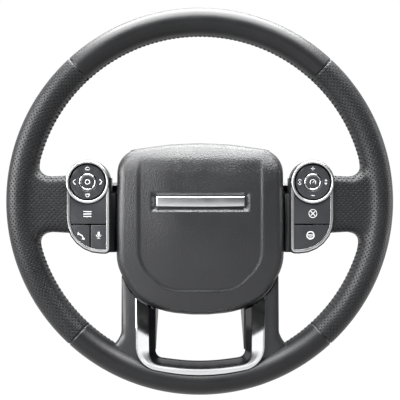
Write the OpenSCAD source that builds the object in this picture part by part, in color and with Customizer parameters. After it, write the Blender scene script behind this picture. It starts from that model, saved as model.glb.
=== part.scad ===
// Car steering wheel with three spokes, an airbag module that presses for the horn, and two switch packs.
// +X is the driver's right, +Z is up and -Y points at the driver.
// The origin is the centre of the shaft bore at the hub's rear face.
// Distances towards the driver are called "forward" and measured from that face.

/* [Rim] */
// Outer diameter of the covered rim
rim_d = 386; // [380:1:392]
// Width of the grip, seen from the front
grip_w = 28; // [27:0.5:30]
// Depth of the grip, from front to back
grip_depth = 35; // [33:0.5:36]
// Distance of the rim's middle plane forward of the hub's rear face
rim_f = 60; // [59:0.5:62]
// Thickness of the leather
leather_t = 1.2; // [1:0.1:1.6]
// Angle of the leather's seams above and below the side spokes
seam_angle = 47.4; // [45:0.2:50]
// Width of the metal ring inside the rim
core_w = 12; // [10:0.5:13]
// Depth of the metal ring inside the rim
core_depth = 14; // [12:0.5:14.5]
// Wall of the metal ring's channel section
core_wall = 3.5; // [3:0.5:4]

/* [Hub] */
// Radius of the shaft bore
bore_r = 8.5; // [8:0.1:9]
// Wall of the steel bush round the bore
bush_wall = 3.5; // [3:0.5:4]
// Length of the hub's boss and bush
boss_len = 24; // [23.5:0.5:25]
// Wall of the cast boss round the bush
boss_wall = 7; // [6:0.5:8]
// Length of the plain bore before the serrations
pilot_len = 12; // [10:1:14]
// Number of serrations
serrations = 36; // [24:1:40]
// Depth of a serration
serration_depth = 0.7; // [0.5:0.1:0.9]
// Thickness of the hub plate and its arms
plate_t = 6; // [5:0.5:7]
// Forward distance of the hub plate's rear face
plate_f = 16; // [15:0.5:17]
// Margin of the hub plate beside its guide bushes
plate_margin = 6; // [5:0.5:9]
// Width of each side arm
side_arm_w = 26; // [22:1:28]
// Width of each lower arm
lower_arm_w = 15; // [13:1:16]
// Across flats of the centre nut
nut_flats = 24; // [22:0.5:27]
// Height of the centre nut
nut_h = 9; // [8:0.5:10]
// Radius of the centre nut's hole
nut_bore_r = 6.2; // [5.5:0.1:7]

/* [Side spokes] */
// Top of the side spokes above the wheel's middle
spoke_top = 25; // [24:0.5:26]
// Bottom of the side spokes below the wheel's middle
spoke_bottom = 31; // [30:0.5:32]
// Radius where a spoke's edges run into the rim
spoke_fillet = 10; // [8:0.5:12]
// Forward distance of a spoke's rear face
spoke_rear_f = 43; // [42:0.5:43.5]
// Forward distance of a spoke's front face
spoke_front_f = 72; // [71:0.5:73]

/* [Airbag module] */
// Half width of the cover
cover_half_w = 83.4; // [83:0.1:83.8]
// Top of the cover above the wheel's middle
cover_top = 59.3; // [57:0.5:62]
// Bottom of the cover below the wheel's middle
cover_bottom = 115; // [113:0.5:118]
// Wall of the cover
cover_wall = 3; // [2.5:0.1:3.5]
// Forward distance of the cover's rear edge
cover_rear_f = 47; // [46:0.5:48]
// Forward distance of the cover's highest point
cover_front_f = 82; // [80:0.5:84]
// Gap round the cover
cover_gap = 0.8; // [0.6:0.1:1]
// Radius of the cover's crowned face
crown_r = 400; // [350:10:600]
// Height of the crown's highest point above the wheel's middle
crown_z = -10; // [-14:1:-6]
// Height of the sloping band along the cover's top edge
brow_h = 15; // [12:0.5:18]
// Slope of that band
brow_angle = 34; // [30:1:38]
// Half width of the badge bar
badge_half_w = 43.5; // [40:0.5:46]
// Height of the badge bar
badge_h = 10; // [8:0.5:12]
// Height of the badge bar's middle above the wheel's middle
badge_z = 0; // [-2:0.5:2]
// Margin of the recess round the badge bar
badge_margin = 5; // [4:0.5:6]
// Thickness of the tray behind the cushion
tray_t = 2; // [1.6:0.1:2.4]
// Depth of the folded cushion
cushion_depth = 17; // [14:0.5:19]
// Radius of the gas generator
inflator_r = 33; // [30:1:35]
// Length of the gas generator behind the tray
inflator_rear = 11; // [9:0.5:12]
// Length of the gas generator in front of the tray
inflator_nose = 12; // [10:0.5:14]
// Height of the gas generator's middle above the wheel's middle
inflator_z = -18; // [-22:1:-16]
// Travel of the module when the horn is pressed
horn_travel = 1.8; // [1.5:0.1:2]

/* [Horn springs] */
// Radius of each guide pin
pin_r = 3; // [2.5:0.1:3.5]
// Mean radius of each horn spring
spring_r = 6; // [5.5:0.1:6.5]
// Radius of the horn springs' wire
spring_wire_r = 0.6; // [0.5:0.05:0.7]
// Turns of each horn spring
spring_turns = 5; // [4:1:6]

/* [Lower trim] */
// Distance of the lower trim's sides in from the cover's sides
trim_inset = 18.4; // [17.5:0.1:19.5]
// How far the lower trim's bottom laps onto the rim
trim_lap = 8; // [7:0.5:9]
// Width of the lower trim's legs
trim_w = 12.5; // [11:0.5:14]
// Height of the lower trim's bottom band
trim_band = 7.5; // [6.5:0.5:8]
// Radius of the lower trim's outer corners
trim_corner_r = 22; // [18:1:26]
// Distance of the lower trim's front face forward of the rim's middle plane
trim_proud = 14; // [13.5:0.5:15]
// Thickness of the lower trim
trim_t = 6.5; // [5.5:0.5:6.5]
// Width of the black liner inside the lower trim
liner_w = 7.6; // [6.5:0.1:8]
// Width of each lower spoke cover beside the trim
leg_w = 13.5; // [12:0.5:15]
// Wall of the lower spoke covers
leg_wall = 2; // [1.8:0.1:2.4]

/* [Back cover] */
// Wall of the back cover
back_wall = 2.5; // [2:0.1:2.8]
// Forward distance of the back cover's rear face
back_f = 8; // [7:0.5:9]
// Radius of the back cover's opening for the column
column_hole_r = 30; // [27:0.5:34]

/* [Switch packs] */
// Distance of each switch ring's middle from the cover's side
ring_offset = 27.5; // [27.2:0.1:27.8]
// Height of each switch ring's middle above the wheel's middle
ring_z = 19.2; // [18.5:0.1:20]
// Outer radius of the switch ring
ring_r = 21.2; // [20.9:0.1:21.5]
// Width of the switch ring, seen from the front
ring_w = 2.8; // [2.4:0.1:3]
// Forward distance of the switch ring's front edge
ring_front_f = 75.5; // [75:0.1:76]
// Distance of the keys' inner edge from the ring's middle
keys_in = 18.5; // [18:0.1:19]
// Distance of the keys' outer edge from the ring's middle
keys_out = 17.4; // [17:0.1:17.7]
// Bottom of the keys below the wheel's middle
frame_bottom = 47.5; // [46.5:0.5:48.5]
// Radius of the key frame's lower outer corner
frame_corner_r = 30.5; // [28:0.5:32]
// Width of the key frame
frame_w = 2.5; // [2.2:0.1:2.7]
// Height of the gap between the upper and lower keys below the wheel's middle
key_split_z = 22.6; // [21:0.1:24]
// Distance of the gap between the two lower left keys in from the ring's middle
key_split = 2.6; // [0:0.1:5]
// Gap between two keys
key_gap = 1.4; // [1.2:0.1:1.6]
// Gap between a key and the frame round it
key_clearance = 0.35; // [0.3:0.05:0.4]
// Travel of a key
key_travel = 0.8; // [0.6:0.1:0.9]
// Outer radius of the four-way pad
pad_r = 16.8; // [16.4:0.1:17]
// Radius of the pad's middle hole
pad_hole_r = 9.2; // [9:0.1:9.4]
// Tilt of the four-way pad each way
pad_tilt = 4; // [3:0.5:4]
// Radius of the middle key's chrome ring
dome_ring_r = 8.3; // [8.1:0.1:8.4]
// Radius of the middle key's cap
dome_r = 6.7; // [6.4:0.1:6.8]
// Radius of the pivot pins in the pad's gimbal
pivot_r = 0.9; // [0.7:0.05:1]
// Running clearance of pins and plungers
running = 0.05; // [0.03:0.01:0.08]
// Wall of the switch housings
housing_wall = 2; // [1.6:0.1:2.2]
// Forward distance of the switch housings' rear face
housing_f = 52; // [51.8:0.1:52.4]
// Thickness of the switch boards
board_t = 1.6; // [1.2:0.1:1.8]
// Height of the small push switches
tact_h = 1.6; // [1.2:0.1:1.8]

/* [Hidden] */
$fn = 64;

arc_step = 15;
seat_gap = 0.3;
past = 1;

rim_r = rim_d / 2;
rim_mid_r = rim_r - grip_w / 2;
rim_in_r = rim_r - grip_w;
rim_sides = 36;

bush_r = bore_r + bush_wall;
boss_r = bush_r + boss_wall;
plate_front_f = plate_f + plate_t;

upper_guide = [cover_half_w - 41.4, cover_top - 44.3];
lower_guide = [cover_half_w - 24.4, 39 - cover_bottom];
guide_points = [for (p = [upper_guide, lower_guide], side = [-1, 1]) [side * p[0], p[1]]];
plate_half_w = upper_guide[0] + plate_margin;
lower_arm_x = lower_guide[0] + 3;

ring_x = cover_half_w + ring_offset;
frame_x0 = ring_x - keys_in;
frame_x1 = ring_x + keys_out;
key_split_x = ring_x - key_split;
ring_in_r = ring_r - ring_w;
turret_wall = 1.9;
turret_in_r = ring_r - turret_wall;
turret_f = ring_front_f - 2.5;
frame_f = 66;
frame_front_f = ring_front_f - 1.2;
key_front_f = frame_front_f - 0.5;
board_f = housing_f + housing_wall;
tact_f = board_f + board_t;
tact_top_f = tact_f + tact_h;
plunger_f = tact_top_f + key_travel + 0.3;
web_f = tact_top_f + 0.8;
web_t = 3;
tube_wall = 1.4;
stem_r = dome_r - 0.2;
tube_in_r = stem_r + running;
tube_r = tube_in_r + tube_wall;
pivot_f = 67.3;
tube_top_f = pivot_f + 2.1;
gimbal_in_r = tube_r + 1.9;
gimbal_r = gimbal_in_r + 2;
gimbal_half_t = 1.2;
pad_rear_f = pivot_f + 2.9;
pad_front_f = key_front_f - 0.4;
ear_in_r = gimbal_r + 0.6;
ear_t = 2.6;
post_r = 1.3;
post_at = ear_in_r + ear_t / 2;
post_f = tact_top_f + post_at * sin(pad_tilt) + 0.2;
housing_rim = 1.6;
flange_w = 1;
pocket_w = flange_w + 0.4;
housing_out_x = frame_x1 + frame_w + housing_rim;
housing_in_x = cover_half_w + cover_gap;
stub_x = max(housing_out_x, ring_x + ring_r + 0.6) + seat_gap;

spoke_z = (spoke_top - spoke_bottom) / 2;
side_arm_t = plate_t;
screw_z = -8;
screw_x = [frame_x0 + 5, frame_x1 - 10];
screw_r = 1.5;
screw_head_r = 3;
screw_boss_r = 5;
screw_head_t = 1.8;
arm_knee_x = frame_x0 - 4;
arm_knee_f = plate_f + 18;
arm_end_f = spoke_rear_f + 2.4;

tray_f = 50;
tray_front_f = tray_f + tray_t;
ring_plate_t = 1.5;
generator_flange_t = 1.5;
generator_flange_r = inflator_r + 9;
stud_at = inflator_r + 4.5;
stud_r = 2.5;

bush_flange_t = 2;
guide_bush_r = pin_r + 2.2;
spring_seat_f = plate_front_f + bush_flange_t;
spring_top_f = tray_f - 1.5;
clip_t = 1;
pin_tail = 3;
contact_x = cover_half_w - 37.4;
contact_points = [[-contact_x, -52], [contact_x, -52]];
contact_r = 2.5;

trim_half_w = cover_half_w - trim_inset;
trim_bottom = rim_in_r + trim_lap;
trim_front_f = rim_f + trim_proud;
trim_rear_f = trim_front_f - trim_t;
trim_top = cover_bottom - 31;
leg_half_w = trim_half_w + leg_w;
leg_front_f = trim_front_f - 5;
leg_rear_f = 43;
leg_top = cover_bottom - 37;
leg_root = cover_bottom - 55;
back_side_f = 21;
back_screw = [42, -12];
back_disc_r = cover_half_w - 11.4;
back_disc_z = -24;
back_front_f = 44.5;
arm_gap_x = housing_out_x - 8;

// Outlines are lists of corners [x, z, corner radius], counter-clockwise as the driver sees them

function unit(v) = v / norm(v);
function left_of(v) = [-v[1], v[0]];
function spot(c) = [c[0], c[1]];
function at(list, i) = list[(i + len(list)) % len(list)];

function mirrored(half) =
    concat(half, [for (i = [len(half) - 2:-1:1]) [-half[i][0], half[i][1], half[i][2]]]);

function grown(c, d) = [for (i = [0:len(c) - 1])
    let (p = spot(at(c, i - 1)), q = spot(c[i]), s = spot(at(c, i + 1)),
        n1 = -left_of(unit(q - p)), n2 = -left_of(unit(s - q)),
        m = q + d * (n1 + n2) / (1 + n1 * n2), bulge = cross(q - p, s - q) > 0 ? 1 : -1)
    [m[0], m[1], c[i][2] == 0 ? 0 : max(c[i][2] + bulge * d, 0.02)]];

function corner_arc(p, q, s, r) = r == 0 ? [q] :
    let (a = unit(p - q), b = unit(s - q), half = acos(a * b) / 2,
        centre = q + unit(a + b) * r / sin(half), from = q + a * r / tan(half) - centre,
        start = atan2(from[1], from[0]), turn = (cross(a, b) < 0 ? 1 : -1) * (180 - 2 * half),
        steps = max(1, ceil(abs(turn) / arc_step)))
    [for (k = [0:steps]) centre + r * [cos(start + turn * k / steps), sin(start + turn * k / steps)]];

function rounded(c) = [for (i = [0:len(c) - 1])
    each corner_arc(spot(at(c, i - 1)), spot(c[i]), spot(at(c, i + 1)), c[i][2])];

cover_outline = mirrored([
    [0, -cover_bottom, 180],
    [cover_half_w - 43.4, 5.5 - cover_bottom, 80],
    [cover_half_w - 17.4, 19 - cover_bottom, 45],
    [cover_half_w, 51 - cover_bottom, 45],
    [cover_half_w - 1.1, cover_top - 8, 18],
    [0, cover_top, 200]]);

badge_outline = mirrored([
    [0, badge_z - badge_h / 2, 0],
    [badge_half_w, badge_z - badge_h / 2 + 0.8, 1.5],
    [badge_half_w, badge_z + badge_h / 2 - 0.8, 1.5],
    [0, badge_z + badge_h / 2, 0]]);

key_outline = [
    [frame_x0, -frame_bottom, 1.5],
    [frame_x1, -frame_bottom, frame_corner_r],
    [frame_x1, ring_z, 0],
    [frame_x0, ring_z, 0]];

trim_outline = [
    [-trim_half_w, -trim_bottom, trim_corner_r],
    [trim_half_w, -trim_bottom, trim_corner_r],
    [trim_half_w, -trim_top, 0],
    [-trim_half_w, -trim_top, 0]];

liner_outline = [
    [trim_w - trim_half_w, trim_band - trim_bottom, trim_corner_r - trim_w],
    [trim_half_w - trim_w, trim_band - trim_bottom, trim_corner_r - trim_w],
    [trim_half_w - trim_w, -trim_top, 0],
    [trim_w - trim_half_w, -trim_top, 0]];

gap_outline = [
    [trim_w + liner_w - trim_half_w, trim_band + 4.8 - trim_bottom, 5],
    [trim_half_w - trim_w - liner_w, trim_band + 4.8 - trim_bottom, 5],
    [trim_half_w - trim_w - liner_w, past - trim_top, 0],
    [trim_w + liner_w - trim_half_w, past - trim_top, 0]];

plate_outline = mirrored([
    [0, -36, 0],
    [24, -36, 6],
    [lower_arm_x - lower_arm_w / 2, lower_guide[1] - 16, 4],
    [lower_arm_x + lower_arm_w / 2, lower_guide[1] - 16, 4],
    [lower_arm_x + lower_arm_w / 2, lower_guide[1], 6],
    [plate_half_w, -24, 6],
    [plate_half_w, 24, 8],
    [0, 24, 0]]);

function rim_x(z) = sqrt(rim_in_r * rim_in_r - z * z);

function spoke_outline(d) = [
    [stub_x, d - spoke_bottom, 0],
    [rim_x(spoke_bottom), d - spoke_bottom, spoke_fillet + d],
    [rim_x(spoke_bottom + 18) + 0.2 + d, -spoke_bottom - 18, 0],
    [rim_mid_r - 4, -spoke_bottom - 18, 0],
    [rim_mid_r - 4, spoke_top + 18, 0],
    [rim_x(spoke_top + 18) + 0.2 + d, spoke_top + 18, 0],
    [rim_x(spoke_top), spoke_top - d, spoke_fillet + d],
    [stub_x, spoke_top - d, 0]];

// Basic solids

module slab(f0, f1) {
    translate([0, -f0, 0])
        rotate([90, 0, 0])
            linear_extrude(f1 - f0)
                children();
}

module disc(x, z, r, f0, f1) {
    translate([x, -f0, z])
        rotate([90, 0, 0])
            cylinder(h = f1 - f0, r = r);
}

module pipe(x, z, r, hole_r, f0, f1) {
    difference() {
        disc(x, z, r, f0, f1);
        disc(x, z, hole_r, f0 - past, f1 + past);
    }
}

module block(x0, x1, z0, z1, f0, f1) {
    translate([x0, -f1, z0])
        cube([x1 - x0, f1 - f0, z1 - z0]);
}

module both_sides() {
    children();
    mirror([1, 0, 0])
        children();
}

module at_points(points) {
    for (p = points)
        translate([p[0], 0, p[1]])
            children();
}

// A flat cap over a ring of n points, made of triangles from one side to the other
function strip(n, first, flipped) = [for (i = [0:ceil(n / 2) - 2])
    let (a = i, b = i + 1, c = n - 2 - i, d = n - 1 - i)
    each [if (b != c) turned([a, b, c], first, flipped), turned([a, c, d], first, flipped)]];

function turned(t, first, flipped) =
    flipped ? [first + t[2], first + t[1], first + t[0]] : [for (k = t) first + k];

// A closed skin through copies of one outline, each level given as [forward, growth]
module loft(corners, levels) {
    rings = [for (l = levels) [for (p = rounded(grown(corners, l[1]))) [p[0], -l[0], p[1]]]];
    n = len(rings[0]);
    last = len(rings) - 1;
    polyhedron(
        [for (r = rings) each r],
        concat(
            strip(n, 0, false),
            strip(n, last * n, true),
            [for (k = [0:last - 1], i = [0:n - 1])
                [k * n + i, (k + 1) * n + i, (k + 1) * n + (i + 1) % n, k * n + (i + 1) % n]]));
}

// Turns a section drawn as [radius, forward] round the wheel's axis
module swept(start, sweep) {
    translate([0, -rim_f, 0])
        rotate([90, 0, 0])
            rotate([0, 0, start])
                rotate_extrude(angle = sweep, $fn = 180)
                    children();
}

module grip_section(inset) {
    polygon([for (i = [0:rim_sides - 1]) let (a = 360 * i / rim_sides)
        [rim_mid_r + (grip_w / 2 - inset) * cos(a), (grip_depth / 2 - inset) * sin(a)]]);
}

module core_outline() {
    translate([rim_mid_r - core_w / 2, -core_depth / 2])
        square([core_w, core_depth]);
}

module core_section() {
    difference() {
        core_outline();
        translate([rim_mid_r - core_w / 2 + core_wall, -core_depth / 2 - past])
            square([core_w - 2 * core_wall, core_depth - core_wall + past]);
    }
}

// Metal skeleton

module side_arm() {
    profile = [
        [plate_half_w - 8, plate_f],
        [plate_half_w + 10, plate_f + 1],
        [arm_knee_x, arm_knee_f],
        [stub_x, arm_end_f],
        [rim_in_r - 13, rim_f - 9],
        [rim_mid_r - core_w / 2 + 1, rim_f - 4],
        [rim_mid_r - core_w / 2 + 1, rim_f + 4],
        [rim_in_r - 15, rim_f],
        [stub_x, arm_end_f + side_arm_t],
        [arm_knee_x, arm_knee_f + side_arm_t],
        [plate_half_w + 3, plate_front_f],
        [plate_half_w - 8, plate_front_f]];
    translate([0, 0, spoke_z - side_arm_w / 2])
        linear_extrude(side_arm_w)
            polygon([for (p = profile) [p[0], -p[1]]]);
}

module lower_arm() {
    profile = [
        [lower_guide[1] - 10, plate_f],
        [lower_guide[1] - 18, plate_f + 1],
        [25 - rim_in_r, rim_f - 17],
        [5 - rim_mid_r, rim_f - 4],
        [5 - rim_mid_r, rim_f + 4],
        [25 - rim_in_r, rim_f - 17 + plate_t + 2],
        [lower_guide[1] - 20, plate_front_f + 3],
        [lower_guide[1] - 12, plate_front_f]];
    translate([lower_arm_x - lower_arm_w / 2, 0, 0])
        rotate([90, 0, 90])
            linear_extrude(lower_arm_w)
                polygon([for (p = profile) [-p[1], p[0]]]);
}

function arm_seat_f(x) = arm_knee_f + 0.6
    + (arm_end_f - arm_knee_f) * (x - arm_knee_x) / (stub_x - arm_knee_x);

module arms() {
    both_sides() {
        side_arm();
        intersection() {
            lower_arm();
            disc(0, 0, rim_mid_r, 0, rim_f + core_depth);
        }
    }
}

module armature() {
    color("silver")
    difference() {
        union() {
            disc(0, 0, boss_r, 0, boss_len);
            slab(plate_f, plate_front_f)
                polygon(rounded(plate_outline));
            arms();
            both_sides()
                for (x = screw_x)
                    disc(x, screw_z, screw_boss_r, arm_seat_f(x), housing_f);
        }
        disc(0, 0, bush_r, -past, boss_len + past);
        swept(0, 360)
            core_outline();
        at_points(guide_points)
            disc(0, 0, guide_bush_r, plate_f - past, plate_front_f + past);
        both_sides() {
            for (x = screw_x) {
                disc(x, screw_z, screw_r + 0.2, plate_f, housing_f + past);
                disc(x, screw_z, screw_head_r + 0.3, plate_f, arm_seat_f(x));
            }
            disc(back_screw[0], back_screw[1], screw_r, plate_f - past, plate_front_f + past);
        }
    }
}

module rim_core() {
    color("gray")
        swept(0, 360)
            core_section();
}

module spline_bush() {
    color("dimgray")
    difference() {
        disc(0, 0, bush_r, 0, boss_len);
        disc(0, 0, bore_r, -past, boss_len + past);
        for (i = [0:serrations - 1])
            rotate([0, 360 * i / serrations, 0])
                slab(pilot_len, boss_len + past)
                    polygon([[bore_r - 0.3, -0.5], [bore_r + serration_depth, 0], [bore_r - 0.3, 0.5]]);
    }
}

module centre_nut() {
    color("darkgray")
    difference() {
        union() {
            disc(0, 0, nut_flats / 2 + 3, boss_len, boss_len + 2);
            translate([0, -boss_len - 2, 0])
                rotate([90, 0, 0])
                    cylinder(h = nut_h - 2, r = nut_flats / sqrt(3), $fn = 6);
        }
        disc(0, 0, nut_bore_r, boss_len - past, boss_len + nut_h + past);
    }
}

// Foam and leather

// The spoke's rounded edges are steps here, each [rear, front, growth]
module spoke_stub(inset) {
    steps = [
        [spoke_rear_f, spoke_rear_f + 3, -6],
        [spoke_rear_f + 3, spoke_rear_f + 7, -2.5],
        [spoke_rear_f + 7, spoke_front_f - 7, 0],
        [spoke_front_f - 7, spoke_front_f - 3, -2.5],
        [spoke_front_f - 3, spoke_front_f, -6]];
    for (s = steps)
        slab(s[0] + (s[0] < rim_f - 5 ? inset : -inset), s[1] + (s[1] < rim_f - 5 ? inset : -inset))
            polygon(rounded(spoke_outline(inset - s[2])));
}

module foam_body() {
    swept(0, 360)
        grip_section(leather_t);
    both_sides()
        spoke_stub(leather_t);
}

module trim_seat() {
    slab(trim_rear_f, cover_front_f)
        polygon(rounded(trim_outline));
}

module rim_foam() {
    color("dimgray")
    difference() {
        foam_body();
        arms();
        rim_core();
        trim_seat();
    }
}

module leather_ring(start, sweep) {
    difference() {
        swept(start, sweep)
            difference() {
                grip_section(0);
                grip_section(leather_t);
            }
        trim_seat();
        arms();
    }
}

module leather_top() {
    color("#2b2c30")
        leather_ring(seam_angle, 180 - 2 * seam_angle);
}

module leather_bottom() {
    color("#2b2c30")
        leather_ring(180 + seam_angle, 180 - 2 * seam_angle);
}

module leather_side() {
    difference() {
        union() {
            swept(-seam_angle, 2 * seam_angle)
                grip_section(0);
            spoke_stub(0);
        }
        swept(0, 360)
            grip_section(leather_t);
        spoke_stub(leather_t);
        side_arm();
    }
}

module leather_right() {
    color("#303136")
        leather_side();
}

module leather_left() {
    color("#303136")
        mirror([1, 0, 0])
            leather_side();
}

// Covers of the hub and the spokes

module back_shape(inset) {
    $fn = 32;
    rear = back_f + inset;
    side = back_side_f + inset;
    front = housing_f - seat_gap + inset;
    hull() {
        loft(grown(cover_outline, -inset), [[back_front_f - 6, 0], [back_front_f + inset, 0]]);
        disc(0, back_disc_z, back_disc_r - inset, rear, rear + 1);
    }
    both_sides() {
        hull() {
            disc(ring_x, ring_z, ring_r + 0.4 - inset, back_front_f, front);
            disc(frame_x1 - frame_corner_r, frame_corner_r - frame_bottom,
                frame_corner_r + frame_w + housing_rim - inset, back_front_f, front);
            block(plate_half_w - 8, housing_in_x + 8, inset - frame_bottom - frame_w,
                ring_z + 18.8 - inset, back_front_f, front);
            block(plate_half_w + 2, ring_x - 10.9 - inset, inset + ring_z - 51.2,
                ring_z + 4.8 - inset, side, side + 1);
        }
        hull() {
            block(leg_x0() + inset, leg_half_w - inset, inset + 14 - rim_in_r, -leg_root,
                leg_rear_f - 3, leg_rear_f - seat_gap + inset);
            block(leg_x0() - 2 + inset, leg_half_w - 3 - inset, 61 - rim_in_r, -leg_root, rear, rear + 1);
        }
    }
}

function leg_x0() = trim_half_w - trim_w - liner_w;

module back_cover() {
    color("#3c3d41")
    difference() {
        union() {
            difference() {
                back_shape(0);
                back_shape(back_wall);
            }
            both_sides()
                disc(back_screw[0], back_screw[1], 4, back_f, plate_f);
        }
        disc(0, 0, column_hole_r, back_f - past, back_f + back_wall + past);
        slab(back_front_f, housing_f)
            polygon(rounded(grown(cover_outline, cover_gap)));
        both_sides()
            block(arm_gap_x, stub_x + past, spoke_z - side_arm_w / 2 - seat_gap,
                spoke_z + side_arm_w / 2 + seat_gap, arm_seat_f(arm_gap_x) - 1.2, housing_f);
        both_sides()
            disc(back_screw[0], back_screw[1], screw_r + 0.2, back_f - past, plate_f + past);
    }
}

module back_cover_screws() {
    color("darkgray")
    both_sides()
        union() {
            disc(back_screw[0], back_screw[1], screw_head_r, back_f - screw_head_t, back_f);
            disc(back_screw[0], back_screw[1], screw_r, back_f, plate_front_f - past);
        }
}

function leg_outline() = [
    [trim_half_w, 13 - rim_in_r, 0],
    [leg_half_w + 3, 23 - rim_in_r, 1],
    [leg_half_w, 33 - rim_in_r, 20],
    [leg_half_w, -leg_top, 0],
    [trim_half_w, -leg_top, 0]];

// Keeps the pieces below the airbag cover clear of its edge
module cover_clearance() {
    slab(leg_rear_f - past, cover_front_f + past)
        polygon(rounded(grown(cover_outline, cover_gap)));
}

module leg_cover() {
    difference() {
        union() {
            slab(leg_rear_f, leg_front_f - 1.5)
                polygon(rounded(leg_outline()));
            slab(leg_front_f - 1.5, leg_front_f)
                polygon(rounded(grown(leg_outline(), -0.8)));
        }
        slab(leg_rear_f - past, leg_front_f - leg_wall)
            polygon(rounded(grown(leg_outline(), -leg_wall)));
        swept(0, 360)
            grip_section(0);
        lower_arm();
        cover_clearance();
    }
}

module lower_spoke_cover_right() {
    color("#3a3b3f")
        leg_cover();
}

module lower_spoke_cover_left() {
    color("#3a3b3f")
        mirror([1, 0, 0])
            leg_cover();
}

module lower_trim() {
    color("#c8cacd")
    difference() {
        loft(trim_outline, [[trim_rear_f, 0], [trim_front_f - 2, 0], [trim_front_f, -1.6]]);
        slab(trim_rear_f - past, trim_front_f + past)
            polygon(rounded(liner_outline));
        cover_clearance();
    }
}

module lower_trim_liner() {
    color("#121316")
    difference() {
        slab(leg_rear_f, trim_front_f - 1.5)
            polygon(rounded(liner_outline));
        slab(leg_rear_f - past, trim_front_f)
            polygon(rounded(gap_outline));
        intersection() {
            swept(0, 360)
                grip_section(0);
            slab(0, trim_rear_f)
                square(2 * rim_d, center = true);
        }
        cover_clearance();
    }
}

// Airbag module

module crown_ball(inset) {
    translate([0, crown_r - cover_front_f, crown_z])
        sphere(r = crown_r - inset, $fn = 240);
}

function crown_f(z) = cover_front_f - crown_r + sqrt(crown_r * crown_r - (z - crown_z) * (z - crown_z));

module brow_cut(inset) {
    foot_z = cover_top - brow_h;
    translate([0, -crown_f(foot_z), foot_z])
        rotate([-brow_angle, 0, 0])
            translate([-2 * cover_half_w, inset - 60, -60])
                cube([4 * cover_half_w, 60, 160]);
}

module cover_body(inset) {
    difference() {
        intersection() {
            loft(cover_outline, [
                [cover_rear_f - (inset > 0 ? past : 0), -inset - 1],
                [cover_rear_f + 6, -inset],
                [cover_front_f - 15, -inset],
                [cover_front_f - 9, -inset - 1.5],
                [cover_front_f - 5, -inset - 4.5],
                [cover_front_f + 4, -inset - 13]]);
            crown_ball(inset);
        }
        brow_cut(inset);
    }
}

module airbag_cover() {
    color("#2e2f33")
    difference() {
        cover_body(0);
        cover_body(cover_wall);
        intersection() {
            slab(cover_rear_f, cover_front_f + past)
                polygon(rounded(grown(badge_outline, badge_margin)));
            difference() {
                slab(cover_rear_f, cover_front_f + past)
                    square(300, center = true);
                crown_ball(1.2);
            }
        }
        slab(cover_rear_f, cover_front_f + past)
            polygon(rounded(grown(badge_outline, 0.2)));
    }
}

module badge_bar() {
    color("#c0c2c6")
    intersection() {
        slab(cover_front_f - cover_wall - 3, cover_front_f + past)
            polygon(rounded(badge_outline));
        crown_ball(0.2);
    }
}

module airbag_tray() {
    color("#8d9096")
    difference() {
        union() {
            slab(tray_f, tray_front_f)
                polygon(rounded(grown(cover_outline, -cover_wall - seat_gap - 1)));
            at_points(guide_points)
                disc(0, 0, spring_r + 2.5, spring_top_f, tray_f);
        }
        disc(0, inflator_z, inflator_r + seat_gap, tray_f - past, tray_front_f + past);
        at_points(guide_points)
            disc(0, 0, pin_r, spring_top_f - past, tray_front_f + past);
        at_studs()
            disc(0, 0, stud_r, tray_f - past, tray_front_f + past);
    }
}

module at_studs() {
    for (a = [45:90:315])
        translate([stud_at * cos(a), 0, inflator_z + stud_at * sin(a)])
            children();
}

cushion_outline = mirrored([
    [0, 23 - cover_bottom, 0],
    [lower_guide[0] - 9, 27 - cover_bottom, 16],
    [lower_guide[0], 55 - cover_bottom, 10],
    [lower_guide[0], cover_top - 23.3, 12],
    [0, cover_top - 21.3, 0]]);

module airbag_cushion() {
    color("#d9d6cc")
    difference() {
        loft(cushion_outline, [
            [tray_front_f, -1.5], [tray_front_f + 3, 0],
            [tray_front_f + cushion_depth - 3, 0], [tray_front_f + cushion_depth, -3]]);
        disc(0, inflator_z, generator_flange_r + 1, tray_front_f - past, tray_front_f + ring_plate_t);
        disc(0, inflator_z, inflator_r + 2, tray_front_f - past, tray_front_f + inflator_nose - 1);
    }
}

module cushion_ring() {
    color("#a9acb0")
    union() {
        pipe(0, inflator_z, generator_flange_r, inflator_r + 0.6,
            tray_front_f, tray_front_f + ring_plate_t);
        at_studs()
            disc(0, 0, stud_r, tray_f - generator_flange_t - 6, tray_front_f);
    }
}

module gas_generator() {
    color("#b9bcc0")
    difference() {
        union() {
            disc(0, inflator_z, inflator_r, tray_f - inflator_rear, tray_front_f + inflator_nose - 3);
            disc(0, inflator_z, inflator_r - 4,
                tray_front_f + inflator_nose - 3, tray_front_f + inflator_nose - 1.5);
            disc(0, inflator_z, generator_flange_r, tray_f - generator_flange_t, tray_f);
        }
        disc(0, inflator_z, 8, tray_f - inflator_rear - past, tray_f - inflator_rear + 4);
        at_studs()
            disc(0, 0, stud_r, tray_f - generator_flange_t - past, tray_f + past);
        for (a = [0:30:330])
            translate([0, -tray_front_f - 5, inflator_z])
                rotate([0, a, 0])
                    translate([inflator_r - 3, 0, 0])
                        rotate([0, 90, 0])
                            cylinder(h = 6, r = 1.2, $fn = 24);
    }
}

module generator_nuts() {
    color("darkgray")
    at_studs()
        difference() {
            translate([0, -tray_f + generator_flange_t + 4, 0])
                rotate([90, 0, 0])
                    cylinder(h = 4, r = 4.6, $fn = 6);
            disc(0, 0, stud_r, 0, tray_f + past);
        }
}

// Horn guides and springs

module guide_pins() {
    color("gainsboro")
    at_points(guide_points)
        disc(0, 0, pin_r, plate_f - pin_tail, tray_front_f);
}

module guide_bushes() {
    color("ivory")
    at_points(guide_points)
        difference() {
            union() {
                disc(0, 0, guide_bush_r, plate_f, plate_front_f);
                disc(0, 0, spring_r + 2, plate_front_f, spring_seat_f);
            }
            disc(0, 0, pin_r + running, plate_f - past, spring_seat_f + past);
        }
}

module horn_springs() {
    color("lightgray")
    at_points(guide_points)
        coil();
}

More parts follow.
